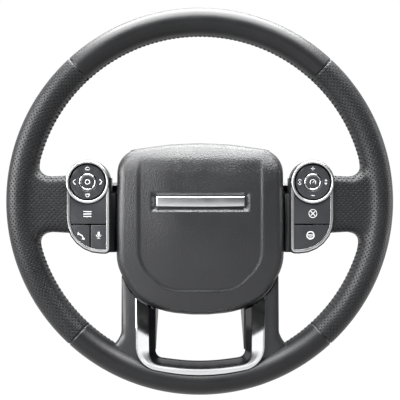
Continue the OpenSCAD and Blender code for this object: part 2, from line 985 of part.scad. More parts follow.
module coil() {
    sides = 6;
    per_turn = 12;
    total = spring_turns * per_turn;
    low = spring_seat_f + spring_wire_r;
    high = spring_top_f - spring_wire_r;
    points = [for (k = [0:total], j = [0:sides - 1]) let (
        a = 360 * k / per_turn, f = low + (high - low) * k / total, b = 360 * j / sides,
        r = spring_r + spring_wire_r * cos(b))
        [r * cos(a), -f - spring_wire_r * sin(b), r * sin(a)]];
    polyhedron(points, concat(
        [[for (j = [sides - 1:-1:0]) j]],
        [[for (j = [0:sides - 1]) total * sides + j]],
        [for (k = [0:total - 1], j = [0:sides - 1])
            [k * sides + j, k * sides + (j + 1) % sides,
                (k + 1) * sides + (j + 1) % sides, (k + 1) * sides + j]]));
}

module pin_clips() {
    color("gray")
    at_points(guide_points)
        pipe(0, 0, pin_r + 2, pin_r, plate_f - clip_t, plate_f);
}

module horn_contact_fixed() {
    color("peru")
    at_points(contact_points)
        disc(0, 0, contact_r, plate_front_f, tray_f - 1.6 - horn_travel - 0.2);
}

module horn_contact_moving() {
    color("peru")
    at_points(contact_points)
        disc(0, 0, contact_r, tray_f - 1.6, tray_f);
}

// Switch packs, drawn for the right side

module key_area(d) {
    polygon(rounded(grown(key_outline, d)));
}

module ring_circle(r) {
    translate([ring_x, ring_z])
        circle(r = r);
}

module pocket_area(d) {
    difference() {
        key_area(pocket_w - d);
        ring_circle(ring_r + d);
    }
}

module switch_housing() {
    edge_f = frame_f + 4.5;
    color("#1c1d20")
    difference() {
        union() {
            slab(housing_f, frame_f)
                key_area(frame_w + housing_rim);
            slab(housing_f, edge_f)
                difference() {
                    key_area(frame_w + housing_rim);
                    key_area(frame_w);
                }
            block(housing_in_x, frame_x0, -frame_bottom - frame_w, ring_z - 11.2, housing_f, frame_f);
            disc(ring_x, ring_z, ring_r + 0.4, housing_f, turret_f);
        }
        slab(board_f, web_f)
            union() {
                key_area(pocket_w);
                ring_circle(turret_in_r);
            }
        slab(web_f, ring_front_f + past)
            pocket_area(0);
        slab(frame_f, ring_front_f + past)
            difference() {
                key_area(frame_w);
                ring_circle(ring_r);
            }
        difference() {
            disc(ring_x, ring_z, turret_in_r, board_f, ring_front_f);
            guide_tube();
        }
        disc(ring_x, ring_z, ring_r, turret_f, ring_front_f);
        gimbal_pins(pivot_r + running, 0);
        for (x = screw_x)
            disc(x, screw_z, screw_r, housing_f - past, housing_f + housing_wall + 3);
    }
    color("#1c1d20")
    for (x = screw_x)
        pipe(x, screw_z, screw_boss(), screw_r, board_f, housing_f + housing_wall + 3);
}

function screw_boss() = screw_r + 1.5;

module guide_tube() {
    pipe(ring_x, ring_z, tube_r, tube_in_r, web_f, tube_top_f);
    difference() {
        translate([ring_x, 0, ring_z])
            for (a = [45, 135])
                rotate([0, a, 0])
                    block(-turret_in_r - past, turret_in_r + past, -1, 1, web_f, web_f + web_t);
        disc(ring_x, ring_z, tube_in_r, 0, 100);
    }
}

module gimbal_pins(r, end_gap) {
    translate([ring_x, -pivot_f, ring_z])
        for (a = [0, 180])
            rotate([0, a, 0])
                translate([0, 0, tube_in_r - past + end_gap])
                    cylinder(h = gimbal_in_r - tube_in_r + past + 0.3 - end_gap, r = r, $fn = 24);
}

module pad_pins(r, extra) {
    translate([ring_x, -pivot_f, ring_z])
        for (a = [90, 270])
            rotate([0, a, 0])
                translate([0, 0, gimbal_r - 0.5])
                    cylinder(h = ear_in_r + ear_t - gimbal_r + 0.5 - 0.4 + extra, r = r, $fn = 24);
}

module ring_bezel() {
    color("#b9bbbf")
    union() {
        pipe(ring_x, ring_z, ring_r, ring_in_r, turret_f, ring_front_f);
        pipe(ring_x, ring_z, turret_in_r, ring_in_r, turret_f - 3, turret_f + 0.5);
    }
}

module key_frame() {
    color("#c3c5c9")
    slab(frame_f, frame_front_f)
        difference() {
            key_area(frame_w);
            key_area(0);
            ring_circle(ring_r + 0.4);
        }
}

module gimbal() {
    color("whitesmoke")
    union() {
        pipe(ring_x, ring_z, gimbal_r, gimbal_in_r, pivot_f - gimbal_half_t, pivot_f + gimbal_half_t);
        gimbal_pins(pivot_r, past + 0.3);
        pad_pins(pivot_r, 0);
    }
}

module four_way_pad() {
    color("#26272b")
    difference() {
        union() {
            pipe(ring_x, ring_z, pad_r, pad_hole_r, pad_rear_f, pad_front_f);
            pipe(ring_x, ring_z, pad_r, pad_r - 1, pad_rear_f - 2.5, pad_rear_f);
            translate([ring_x, 0, ring_z]) {
                both_sides() {
                    block(ear_in_r, ear_in_r + ear_t, -2.2, 2.2, pivot_f - 2, pad_rear_f);
                    disc(post_at, 0, post_r, post_f, pivot_f - 2);
                }
                for (z = [-post_at, post_at])
                    disc(0, z, post_r, post_f, pad_rear_f);
            }
        }
        pad_pins(pivot_r + running, past);
    }
}

module dome_ring() {
    color("#d0d2d6")
    pipe(ring_x, ring_z, dome_ring_r, dome_r, pad_front_f - 1.8, pad_front_f + 0.7);
}

module dome_key() {
    color("#2b2c30")
    union() {
        disc(ring_x, ring_z, dome_r, pad_front_f - 1.8, pad_front_f + 1);
        disc(ring_x, ring_z, stem_r, plunger_f, pad_front_f - 1.8);
    }
}

// One key: its cap inside the frame, a flange under the frame and a plunger
module key(x0, x1, z0, z1, plunger_x, plunger_z) {
    color("#26272b")
    union() {
        slab(frame_f - 1.5, key_front_f)
            key_cell(x0, x1, z0, z1, -key_clearance, ring_r + 0.4 + key_clearance);
        slab(frame_f - 1.5, frame_f - seat_gap)
            key_cell(x0, x1, z0, z1, flange_w, ring_r + key_clearance);
        disc(plunger_x, plunger_z, post_r, plunger_f, frame_f - 1.5);
    }
}

module key_cell(x0, x1, z0, z1, d, clear_r) {
    difference() {
        intersection() {
            key_area(d);
            translate([x0, z0])
                square([x1 - x0, z1 - z0]);
        }
        ring_circle(clear_r);
    }
}

key_x0 = frame_x0 - 5;
key_x1 = frame_x1 + 5;
upper_z0 = key_gap / 2 - key_split_z;
lower_z1 = -key_gap / 2 - key_split_z;
key_low_z = -frame_bottom - 5;
upper_plunger = [ring_x, -12];
outer_plunger = [frame_x1 - 11, -34];
inner_plunger = [frame_x0 + 8, -34];
middle_plunger = [ring_x - 2, -34];

module upper_key() {
    key(key_x0, key_x1, upper_z0, ring_z - past, upper_plunger[0], upper_plunger[1]);
}

module outer_key() {
    key(key_split_x + key_gap / 2, key_x1, key_low_z, lower_z1, outer_plunger[0], outer_plunger[1]);
}

module inner_key() {
    key(key_x0, key_split_x - key_gap / 2, key_low_z, lower_z1, inner_plunger[0], inner_plunger[1]);
}

module lower_key() {
    key(key_x0, key_x1, key_low_z, lower_z1, middle_plunger[0], middle_plunger[1]);
}

module switch_board() {
    color("darkgreen")
    slab(board_f, board_f + board_t)
        difference() {
            union() {
                key_area(pocket_w - seat_gap);
                ring_circle(turret_in_r - seat_gap);
            }
            for (x = screw_x)
                translate([x, screw_z])
                    circle(r = screw_boss() + 0.2);
        }
}

module push_switches(points) {
    color("gainsboro")
    for (p = concat(points, [upper_plunger, [ring_x, ring_z],
        [ring_x - post_at, ring_z], [ring_x + post_at, ring_z],
        [ring_x, ring_z - post_at], [ring_x, ring_z + post_at]]))
        block(p[0] - 2, p[0] + 2, p[1] - 2, p[1] + 2, tact_f, tact_top_f);
}

module switch_screws() {
    color("darkgray")
    both_sides()
        for (x = screw_x)
            union() {
                disc(x, screw_z, screw_head_r, arm_seat_f(x) - screw_head_t, arm_seat_f(x));
                disc(x, screw_z, screw_r, arm_seat_f(x), housing_f + housing_wall + 2);
            }
}

module left() {
    mirror([1, 0, 0])
        children();
}

armature();
rim_core();
spline_bush();
centre_nut();
rim_foam();
leather_top();
leather_bottom();
leather_left();
leather_right();
back_cover();
back_cover_screws();
lower_spoke_cover_left();
lower_spoke_cover_right();
lower_trim();
lower_trim_liner();
airbag_cover();
badge_bar();
airbag_tray();
airbag_cushion();
cushion_ring();
gas_generator();
generator_nuts();
guide_pins();
guide_bushes();
horn_springs();
pin_clips();
horn_contact_fixed();
horn_contact_moving();
left() switch_housing();  // left_switch_housing
left() ring_bezel();  // left_ring
left() key_frame();  // left_key_frame
left() four_way_pad();  // left_pad
left() gimbal();  // left_gimbal
left() dome_ring();  // left_dome_ring
left() dome_key();  // left_dome_key
left() upper_key();  // left_upper_key
left() outer_key();  // left_outer_key
left() inner_key();  // left_inner_key
left() switch_board();  // left_switch_board
left() push_switches([outer_plunger, inner_plunger]);  // left_push_switches
switch_housing();  // right_switch_housing
ring_bezel();  // right_ring
key_frame();  // right_key_frame
four_way_pad();  // right_pad
gimbal();  // right_gimbal
dome_ring();  // right_dome_ring
dome_key();  // right_dome_key
upper_key();  // right_upper_key
lower_key();  // right_lower_key
switch_board();  // right_switch_board
push_switches([middle_plunger]);  // right_push_switches
switch_screws();
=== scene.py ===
# %% [markdown]
# # A leather-covered car steering wheel
# The CAD model already holds every working part of the wheel: the cast arms, the airbag module that
# presses for the horn, and the two switch packs. This notebook dresses it. It builds the surfaces that
# a driver sees and touches, such as leather, seams, thread, soft plastic and chrome, and it gives each
# hidden part the finish of its own material.

import math

import bmesh
import bpy
from mathutils import Matrix, Vector


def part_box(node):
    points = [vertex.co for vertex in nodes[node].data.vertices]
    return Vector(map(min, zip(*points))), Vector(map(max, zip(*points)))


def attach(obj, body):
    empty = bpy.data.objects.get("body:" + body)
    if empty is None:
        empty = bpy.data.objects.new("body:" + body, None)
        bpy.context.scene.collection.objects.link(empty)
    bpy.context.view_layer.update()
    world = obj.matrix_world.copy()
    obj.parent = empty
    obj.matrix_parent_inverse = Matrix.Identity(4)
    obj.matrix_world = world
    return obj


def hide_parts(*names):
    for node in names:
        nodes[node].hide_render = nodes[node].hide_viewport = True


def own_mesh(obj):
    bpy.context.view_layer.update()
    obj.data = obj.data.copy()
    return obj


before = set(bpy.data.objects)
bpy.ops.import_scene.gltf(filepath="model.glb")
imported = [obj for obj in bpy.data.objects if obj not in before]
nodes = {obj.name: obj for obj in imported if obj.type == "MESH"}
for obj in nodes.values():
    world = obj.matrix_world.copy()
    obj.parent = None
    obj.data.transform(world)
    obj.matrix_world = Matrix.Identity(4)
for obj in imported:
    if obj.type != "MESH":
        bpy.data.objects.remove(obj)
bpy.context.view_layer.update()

# %% [markdown]
# ## Camera
# A product photograph like this one is taken with a long lens from straight in front. A camera can be
# placed by eye, or from the size of something known. Here the rim is 386 mm across and fills 386 of
# the 400 pixels, so a 76.5 mm lens stands 850 mm from the rim's plane, a little to the driver's left.

# %% Camera
LENS = 76.5
EYE = Vector((-0.012, -0.910, 0.004))
AIM = Vector((-0.0002, -0.060, 0.0014))

camera_data = bpy.data.cameras.new("camera")
camera_data.lens = LENS
camera_data.clip_start = 0.01
camera = bpy.data.objects.new("camera", camera_data)
camera.location = EYE
camera.rotation_mode = "QUATERNION"
camera.rotation_quaternion = (AIM - EYE).to_track_quat("-Z", "Y")
bpy.context.scene.collection.objects.link(camera)
bpy.context.scene.camera = camera
bpy.context.scene.view_settings.view_transform = "Standard"

# %% [markdown]
# ## Node helpers
# Materials are built from nodes. Adding a node, setting its options and wiring its sockets takes many
# lines, so one helper does all three. A shader node group is used where several materials share an
# effect: it is built once and placed in each with its own numbers. Noise seldom leaves the band from
# 0.3 to 0.7, so that band is what gets spread over a finish's own range.

# %% Node helpers
NOISE_BAND = {"From Min": 0.3, "From Max": 0.7}


def put(tree, kind, sockets=None, **settings):
    """Adds a node. A socket is given a link or a plain value, by its name or number."""
    node = tree.nodes.new(kind)
    for key, value in settings.items():
        setattr(node, key, value)
    for key, value in (sockets or {}).items():
        if isinstance(value, bpy.types.NodeSocket):
            tree.links.new(value, node.inputs[key])
        else:
            node.inputs[key].default_value = value
    return node


def new_group(name, inputs, outputs):
    """An empty shader group with named sockets, and the sockets of its two ends."""
    tree = bpy.data.node_groups.new(name, "ShaderNodeTree")
    for label, kind, default in inputs:
        socket = tree.interface.new_socket(label, in_out="INPUT", socket_type="NodeSocket" + kind)
        if default is not None:
            socket.default_value = default
    for label in outputs:
        tree.interface.new_socket(label, in_out="OUTPUT", socket_type="NodeSocketFloat")
    source = tree.nodes.new("NodeGroupInput").outputs
    sink = tree.nodes.new("NodeGroupOutput").inputs
    return tree, source, sink


def times(tree, a, b):
    """The product of two sockets or numbers."""
    return put(tree, "ShaderNodeMath", {0: a, 1: b}, operation="MULTIPLY").outputs[0]


# %% [markdown]
# ## Grain
# Leather and moulded soft plastic share a pebbled surface: small cells with creases between them. It
# could be carved into the mesh, but the cells are about a millimetre wide, so it is cheaper and sharper
# as a height that feeds a bump. The group also gives a slow blotch, which makes the colour and the
# gloss vary a little from place to place, as on a real hide.

# %% Grain group
WANDER = 0.0006
PORES = 0.35
grain_group, source, sink = new_group(
    "grain",
    [("Vector", "Vector", None), ("Cells", "Float", 900.0), ("Crease", "Float", 0.12)],
    ["Height", "Blotch"])
warp = put(
    grain_group, "ShaderNodeTexNoise", {"Vector": source["Vector"], "Scale": 400.0, "Detail": 2.0})
bent = put(grain_group, "ShaderNodeVectorMath", {0: warp.outputs["Color"]}, operation="SCALE")
bent.inputs["Scale"].default_value = WANDER
moved = put(
    grain_group, "ShaderNodeVectorMath", {0: source["Vector"], 1: bent.outputs[0]}, operation="ADD")
cells = put(
    grain_group, "ShaderNodeTexVoronoi",
    {"Vector": moved.outputs[0], "Scale": source["Cells"]}, feature="DISTANCE_TO_EDGE")
crease = put(
    grain_group, "ShaderNodeMapRange",
    {"Value": cells.outputs["Distance"], "From Min": 0.0, "From Max": source["Crease"]},
    interpolation_type="SMOOTHSTEP")
fine = put(
    grain_group, "ShaderNodeTexNoise", {"Vector": source["Vector"], "Scale": 2600.0, "Detail": 3.0})
height = put(
    grain_group, "ShaderNodeMath",
    {0: fine.outputs["Fac"], 1: PORES, 2: crease.outputs["Result"]}, operation="MULTIPLY_ADD")
blotch = put(
    grain_group, "ShaderNodeTexNoise", {"Vector": source["Vector"], "Scale": 26.0, "Detail": 4.0})
grain_group.links.new(height.outputs[0], sink["Height"])
grain_group.links.new(blotch.outputs["Fac"], sink["Blotch"])

# %% [markdown]
# ## Perforation
# The side panels of the rim are leather punched with fine holes in staggered rows. Thousands of real
# holes would make a heavy mesh. The holes are drawn from the panel's own UV map instead, which is
# measured in centimetres along the hide, so the rows follow the rim round its curve. Two square
# lattices, one shifted by half a pitch, give the stagger.

# %% Perforation group
perforation_group, source, sink = new_group(
    "perforation",
    [("UV", "Vector", None), ("Pitch", "Float", 0.44), ("Radius", "Float", 0.045)], ["Hole"])
pitches = put(
    perforation_group, "ShaderNodeMath", {0: 1.0, 1: source["Pitch"]}, operation="DIVIDE").outputs[0]
lattice = put(
    perforation_group, "ShaderNodeVectorMath",
    {0: source["UV"], "Scale": pitches}, operation="SCALE").outputs[0]
reach = []
for shift in (0.0, 0.5):
    shifted = put(
        perforation_group, "ShaderNodeVectorMath",
        {0: lattice, 1: (shift, shift, 0)}, operation="ADD").outputs[0]
    inside = put(
        perforation_group, "ShaderNodeVectorMath", {0: shifted}, operation="FRACTION").outputs[0]
    centred = put(
        perforation_group, "ShaderNodeVectorMath",
        {0: inside, 1: (0.5, 0.5, 0)}, operation="SUBTRACT").outputs[0]
    reach.append(put(
        perforation_group, "ShaderNodeVectorMath", {0: centred}, operation="LENGTH").outputs["Value"])
nearest = put(perforation_group, "ShaderNodeMath", {0: reach[0], 1: reach[1]}, operation="MINIMUM")
distance = times(perforation_group, nearest.outputs[0], source["Pitch"])
rim_of_hole = times(perforation_group, source["Radius"], 1.35)
floor_of_hole = times(perforation_group, source["Radius"], 0.75)
hole = put(
    perforation_group, "ShaderNodeMapRange",
    {"Value": distance, "From Min": rim_of_hole, "From Max": floor_of_hole,
     "To Min": 0.0, "To Max": 1.0}, interpolation_type="SMOOTHSTEP")
perforation_group.links.new(hole.outputs["Result"], sink["Hole"])

# %% [markdown]
# ## Handling
# Plated and painted parts are never quite even: they carry a haze of fine wiping marks. This group
# gives a roughness that wanders round a middle value, and a faint height for the marks.

# %% Handling group
handling_group, source, sink = new_group(
    "handling",
    [("Vector", "Vector", None), ("Roughness", "Float", 0.3), ("Spread", "Float", 0.1),
     ("Scale", "Float", 60.0)],
    ["Roughness", "Height"])
haze = put(
    handling_group, "ShaderNodeTexNoise",
    {"Vector": source["Vector"], "Scale": source["Scale"], "Detail": 5.0, "Roughness": 0.6})
glossier, duller = (
    put(handling_group, "ShaderNodeMath", {0: source["Roughness"], 1: source["Spread"]}, operation=way)
    for way in ("SUBTRACT", "ADD"))
spread = put(
    handling_group, "ShaderNodeMapRange",
    {"Value": haze.outputs["Fac"], **NOISE_BAND,
     "To Min": glossier.outputs[0], "To Max": duller.outputs[0]})
marks = put(
    handling_group, "ShaderNodeTexNoise", {"Vector": source["Vector"], "Scale": 1800.0, "Detail": 2.0})
handling_group.links.new(spread.outputs["Result"], sink["Roughness"])
handling_group.links.new(marks.outputs["Fac"], sink["Height"])

# %% [markdown]
# ## Hides and soft plastics
# All dark skins of the wheel are the same recipe with other numbers: a charcoal colour that wanders
# between two tones, a gloss that wanders with it, and the grain as bump. The perforated leather adds
# the holes, and the shade inside each hole is painted as a near-black colour. The foam, the nylon and
# the circuit boards inside share the recipe.

# %% Skins
GLOSS_DRIFT = 0.05
HOLE_DEPTH = 0.0002
# Painted shade: the near-black colour given to the inside of each punched hole.
HOLE_SHADE_COLOUR = (0.002, 0.002, 0.002, 1)


def new_material(name):
    """A node material, its tree and its shader."""
    material = bpy.data.materials.new(name)
    material.use_nodes = True
    tree = material.node_tree
    shader = tree.nodes["Principled BSDF"]
    return material, tree, shader


def place(tree, group, sockets):
    """Puts a shader group into a material."""
    return put(tree, "ShaderNodeGroup", sockets, node_tree=group)


def skin(name, dark, light, roughness, cells, bump, holes=None, crease=0.3, specular=0.5):
    """A grained skin. Bump is the grain's depth in metres, and holes are (pitch, radius) in cm."""
    material, tree, shader = new_material(name)
    where = tree.nodes.new("ShaderNodeTexCoord")
    grain = place(
        tree, grain_group, {"Vector": where.outputs["Object"], "Cells": cells, "Crease": crease})
    tone = put(tree, "ShaderNodeMapRange", {"Value": grain.outputs["Blotch"], **NOISE_BAND})
    colour = put(
        tree, "ShaderNodeMix", {0: tone.outputs["Result"], 6: (*dark, 1), 7: (*light, 1)},
        data_type="RGBA")
    gloss = put(
        tree, "ShaderNodeMapRange",
        {"Value": grain.outputs["Blotch"], **NOISE_BAND,
         "To Min": roughness - GLOSS_DRIFT, "To Max": roughness + GLOSS_DRIFT})
    base, relief, matt = colour.outputs[2], grain.outputs["Height"], gloss.outputs["Result"]
    if holes:
        punched = place(
            tree, perforation_group, {"UV": where.outputs["UV"], "Pitch": holes[0], "Radius": holes[1]})
        pit = punched.outputs["Hole"]
        # Painted shade: inside each hole the colour is mixed towards near black.
        base = put(
            tree, "ShaderNodeMix", {0: pit, 6: base, 7: HOLE_SHADE_COLOUR}, data_type="RGBA").outputs[2]
        relief = put(
            tree, "ShaderNodeMath", {0: pit, 1: -HOLE_DEPTH / bump, 2: relief},
            operation="MULTIPLY_ADD").outputs[0]
        matt = put(tree, "ShaderNodeMath", {0: pit, 1: matt}, operation="MAXIMUM").outputs[0]
    lift = put(tree, "ShaderNodeBump", {"Height": relief, "Distance": bump, "Strength": 1.0})
    tree.links.new(base, shader.inputs["Base Color"])
    tree.links.new(matt, shader.inputs["Roughness"])
    tree.links.new(lift.outputs["Normal"], shader.inputs["Normal"])
    shader.inputs["Specular IOR Level"].default_value = specular
    return material


finishes = {
    "leather": skin(
        "leather", (0.008, 0.0082, 0.0092), (0.012, 0.0123, 0.0136), 0.4, 900, 0.00002,
        specular=0.38),
    "perforated_leather": skin(
        "perforated_leather", (0.01, 0.0105, 0.0118), (0.014, 0.0145, 0.0163), 0.42, 900, 0.00002,
        holes=(0.48, 0.075), specular=0.42),
    "cover_skin": skin(
        "cover_skin", (0.007, 0.0074, 0.0088), (0.01, 0.0105, 0.0124), 0.42, 430, 0.00012,
        crease=0.42, specular=0.8),
    "soft_plastic": skin(
        "soft_plastic", (0.012, 0.0125, 0.0143), (0.016, 0.0165, 0.0188), 0.42, 900, 0.00003,
        specular=0.8),
    "black_plastic": skin(
        "black_plastic", (0.004, 0.004, 0.0045), (0.006, 0.006, 0.0065), 0.4, 1800, 0.00001,
        specular=0.3),
    "key_plastic": skin(
        "key_plastic", (0.02, 0.0215, 0.0245), (0.024, 0.0255, 0.029), 0.4, 2200, 0.000005,
        specular=0.7),
    "foam": skin("foam", (0.04, 0.04, 0.04), (0.07, 0.07, 0.07), 0.9, 500, 0.00015),
    "nylon": skin("nylon", (0.6, 0.59, 0.55), (0.68, 0.67, 0.63), 0.5, 1500, 0.00002),
    "board_green": skin("board_green", (0.012, 0.12, 0.045), (0.018, 0.16, 0.06), 0.35, 700, 0.00002),
}
print(len(finishes), "skins")

# %% [markdown]
# ## Metals and gloss
# Chrome shows its surroundings, so its own colour matters less than its roughness. Satin plate is
# rougher than bright plate. Piano black is a very dark plastic with a soft gloss here, because a
# stronger one would mirror the lamps as white bars. Each gets the handling haze, so that no reflection
# is perfectly even. The inner parts' metals, the thread and the print share the recipe.

# %% Metals
def plate(name, colour, roughness, spread=0.04, scale=60.0, bump=0.000001, metallic=1.0, specular=0.5):
    """A smooth, hard finish whose gloss wanders by spread on a pattern of a scale."""
    material, tree, shader = new_material(name)
    where = tree.nodes.new("ShaderNodeTexCoord")
    wiped = place(
        tree, handling_group,
        {"Vector": where.outputs["Object"], "Roughness": roughness, "Spread": spread, "Scale": scale})
    lift = put(
        tree, "ShaderNodeBump", {"Height": wiped.outputs["Height"], "Distance": bump, "Strength": 1.0})
    tone = put(
        tree, "ShaderNodeTexNoise", {"Vector": where.outputs["Object"], "Scale": 35.0, "Detail": 3.0})
    darker = tuple(c * 0.93 for c in colour)
    base = put(
        tree, "ShaderNodeMix", {0: tone.outputs["Fac"], 6: (*colour, 1), 7: (*darker, 1)},
        data_type="RGBA")
    tree.links.new(base.outputs[2], shader.inputs["Base Color"])
    tree.links.new(wiped.outputs["Roughness"], shader.inputs["Roughness"])
    tree.links.new(lift.outputs["Normal"], shader.inputs["Normal"])
    shader.inputs["Metallic"].default_value = metallic
    shader.inputs["Specular IOR Level"].default_value = specular
    return material


finishes.update({
    "satin_chrome": plate("satin_chrome", (0.75, 0.76, 0.775), 0.32),
    "satin_silver": plate("satin_silver", (0.7, 0.71, 0.72), 0.34),
    "bright_chrome": plate("bright_chrome", (0.85, 0.86, 0.87), 0.17),
    "steel": plate("steel", (0.55, 0.55, 0.56), 0.34, 0.08),
    "magnesium": plate("magnesium", (0.55, 0.56, 0.57), 0.5, 0.1, 90, 0.00004),
    "copper": plate("copper", (0.72, 0.42, 0.2), 0.3, 0.08),
    "gloss_black": plate("gloss_black", (0.004, 0.004, 0.005), 0.25, metallic=0.0, specular=0.1),
    "print_white": plate("print_white", (0.82, 0.83, 0.84), 0.5, 0.05, metallic=0.0),
    "thread": plate("thread", (0.03, 0.031, 0.034), 0.7, 0.08, 200, 0.00003, metallic=0.0),
})


def cloth():
    """Coated nylon: a plain weave of fine yarns under a matt coat."""
    material, tree, shader = new_material("cushion_fabric")
    where = tree.nodes.new("ShaderNodeTexCoord")
    yarns = [
        put(tree, "ShaderNodeTexWave",
            {"Vector": where.outputs["Object"], "Scale": 260.0, "Distortion": 0.4},
            bands_direction=way) for way in ("X", "Z")]
    weave = put(
        tree, "ShaderNodeMath", {0: yarns[0].outputs["Fac"], 1: yarns[1].outputs["Fac"]},
        operation="MAXIMUM")
    lift = put(
        tree, "ShaderNodeBump", {"Height": weave.outputs[0], "Distance": 0.0001, "Strength": 1.0})
    base = put(
        tree, "ShaderNodeMix",
        {0: weave.outputs[0], 6: (0.55, 0.53, 0.48, 1), 7: (0.75, 0.73, 0.67, 1)}, data_type="RGBA")
    tree.links.new(base.outputs[2], shader.inputs["Base Color"])
    tree.links.new(lift.outputs["Normal"], shader.inputs["Normal"])
    shader.inputs["Roughness"].default_value = 0.8
    return material


finishes["cushion_fabric"] = cloth()

# %% [markdown]
# ## Finishes for the CAD nodes
# A CAD node keeps its mesh, and only its material changes. The record names one material slot for each
# node, and the finishes above carry the same names, so the exchange is a lookup.

# %% Dress the CAD nodes
dressed = 0
for name, node in nodes.items():
    for slot in node.material_slots:
        key = slot.material.name.split(".")[0]
        if key in finishes:
            slot.material = finishes[key]
            dressed += 1
        else:
            print("no finish for", name, key)
print(dressed, "slots dressed")

# %% [markdown]
# ## From drawing to piece
# Every piece below is drawn as a bmesh in millimetres, in the wheel's own frame: x to the driver's
# right, z up, and -y towards the driver. Finishing a piece is always the same: merge doubles, turn the
# faces outwards, scale to metres, round the shading, and let it ride on its CAD body.

# %% Finishing helper
def settle(bm, name, finish, body="wheel", sharp=35, turned=True, merge=0.002):
    """Makes a piece of a bmesh that is drawn in millimetres."""
    if merge:
        bmesh.ops.remove_doubles(bm, verts=bm.verts, dist=merge)
    if turned:
        bmesh.ops.recalc_face_normals(bm, faces=bm.faces)
    bmesh.ops.scale(bm, vec=(0.001,) * 3, verts=bm.verts)
    mesh = bpy.data.meshes.new(name)
    bm.to_mesh(mesh)
    bm.free()
    mesh.materials.append(finishes[finish])
    mesh.shade_smooth()
    mesh.set_sharp_from_angle(angle=math.radians(sharp))
    piece = bpy.data.objects.new(name, mesh)
    bpy.context.scene.collection.objects.link(piece)
    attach(piece, body)
    return piece


def sized(node):
    """A CAD node's box in millimetres, as (lowest, highest)."""
    low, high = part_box(node)
    return low * 1000, high * 1000


# %% [markdown]
# ## The grip
# The rim is one oval section carried round the wheel's axis. Spin does exactly that. The leather is
# sewn from four panels, and each panel's edge is turned in where it meets the next, so the rings near
# an end are close together and pulled in a little. That leaves a fine valley at each seam.

# %% Grip panels
RIM_OUT = sized("leather_left")[0].x * -1
GRIP_W, GRIP_D = 28.0, 35.0
RIM_MID = RIM_OUT - GRIP_W / 2
RIM_IN = RIM_MID - GRIP_W / 2
RIM_F = 60.0
SEAM = 47.4
FACE_TURN = 0.55
TURNED_EDGE, EDGE_RINGS, EDGE_FADE = 2.4, 6, 0.8
print("rim radius", round(RIM_OUT, 2), "middle", round(RIM_MID, 2))


def grip(start, sweep, around=64, turn_in=0.8, gap=0.05):
    """The oval section spun from one angle through another, in degrees from the right-hand side."""
    bm = bmesh.new()
    ring = bmesh.ops.create_circle(bm, radius=1, segments=around)["verts"]
    oval = Matrix.Diagonal((GRIP_W / 2, GRIP_D / 2, 1, 1))
    bmesh.ops.transform(
        bm, verts=ring, matrix=Matrix.Translation((RIM_MID, -RIM_F, 0)) @ oval)
    edge_turn = math.degrees(gap / RIM_MID)
    spin_turn = Matrix.Rotation(-math.radians(start + edge_turn), 3, "Y")
    bmesh.ops.rotate(bm, cent=(0, 0, 0), matrix=spin_turn, verts=ring)
    loop = list(bm.edges)
    short = math.degrees(TURNED_EDGE / RIM_MID)
    between = sweep - 2 * short - 2 * edge_turn
    stages = ((short, EDGE_RINGS), (between, round(sweep / FACE_TURN)), (short, EDGE_RINGS))
    for angle, steps in stages:
        made = bmesh.ops.spin(
            bm, geom=loop, cent=(0, 0, 0), axis=(0, -1, 0), angle=math.radians(angle), steps=steps)
        loop = [g for g in made["geom_last"] if isinstance(g, bmesh.types.BMEdge)]
    for v in bm.verts:
        turn = (math.degrees(math.atan2(v.co.z, v.co.x)) - start) % 360
        from_end = math.radians(min(turn, abs(sweep - turn))) * RIM_MID
        pull = turn_in * math.exp(-(from_end / EDGE_FADE) ** 2)
        middle = Vector((v.co.x, 0, v.co.z)).normalized() * RIM_MID - Vector((0, RIM_F, 0))
        v.co += (middle - v.co).normalized() * pull
    bmesh.ops.holes_fill(bm, edges=bm.edges, sides=around)
    return bm


HIDE_R = 15.8
SPOKE_TURN = 137


def measure_hide(bm, centimetre=0.1):
    """Gives a panel a UV map in centimetres: along the rim, and round the grip from its outer side.

    The hide leaves the grip for the spoke where it has gone SPOKE_TURN degrees round it.
    """
    uv = bm.loops.layers.uv.verify()
    leave_r = RIM_MID + GRIP_W / 2 * math.cos(math.radians(SPOKE_TURN))
    leave_v = math.radians(SPOKE_TURN) * HIDE_R

    def hide_point(co):
        r = math.hypot(co.x, co.z)
        along = math.atan2(co.z, abs(co.x)) * RIM_MID
        deep = -co.y - RIM_F
        if r < leave_r - 0.5:
            across = math.copysign(leave_v + leave_r - r, deep)
            along = math.asin(max(-1, min(1, co.z / leave_r))) * RIM_MID
        else:
            across = math.atan2(deep / (GRIP_D / 2), (r - RIM_MID) / (GRIP_W / 2)) * HIDE_R
        return along * centimetre, across * centimetre

    for face in bm.faces:
        points = [hide_point(loop.vert.co) for loop in face.loops]
        top = max(p[1] for p in points)
        for loop, (u, v) in zip(face.loops, points):
            if top - v > math.pi * HIDE_R * centimetre:
                v += math.tau * HIDE_R * centimetre
            loop[uv].uv = (u, v)


def smooth_panel(bm, name):
    """Finishes a panel of plain leather."""
    measure_hide(bm)
    panel = settle(bm, f"rim_leather_{name}", "leather", sharp=60)
    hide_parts(f"leather_{name}")
    print(panel.name, len(panel.data.polygons), "faces")


smooth_panel(grip(SEAM, 180 - 2 * SEAM), "top")

# %% [markdown]
# ## Side panels and spokes
# On each side one piece of hide covers the rim and runs on over the spoke. The two shapes must flow
# into each other like clay. Bridging their edge loops by hand would be slow, so they are simply put
# through each other, a voxel remesh makes one skin of them, and then only the hollow places
# are relaxed, over and over, until the valley between the shapes is a soft fillet.

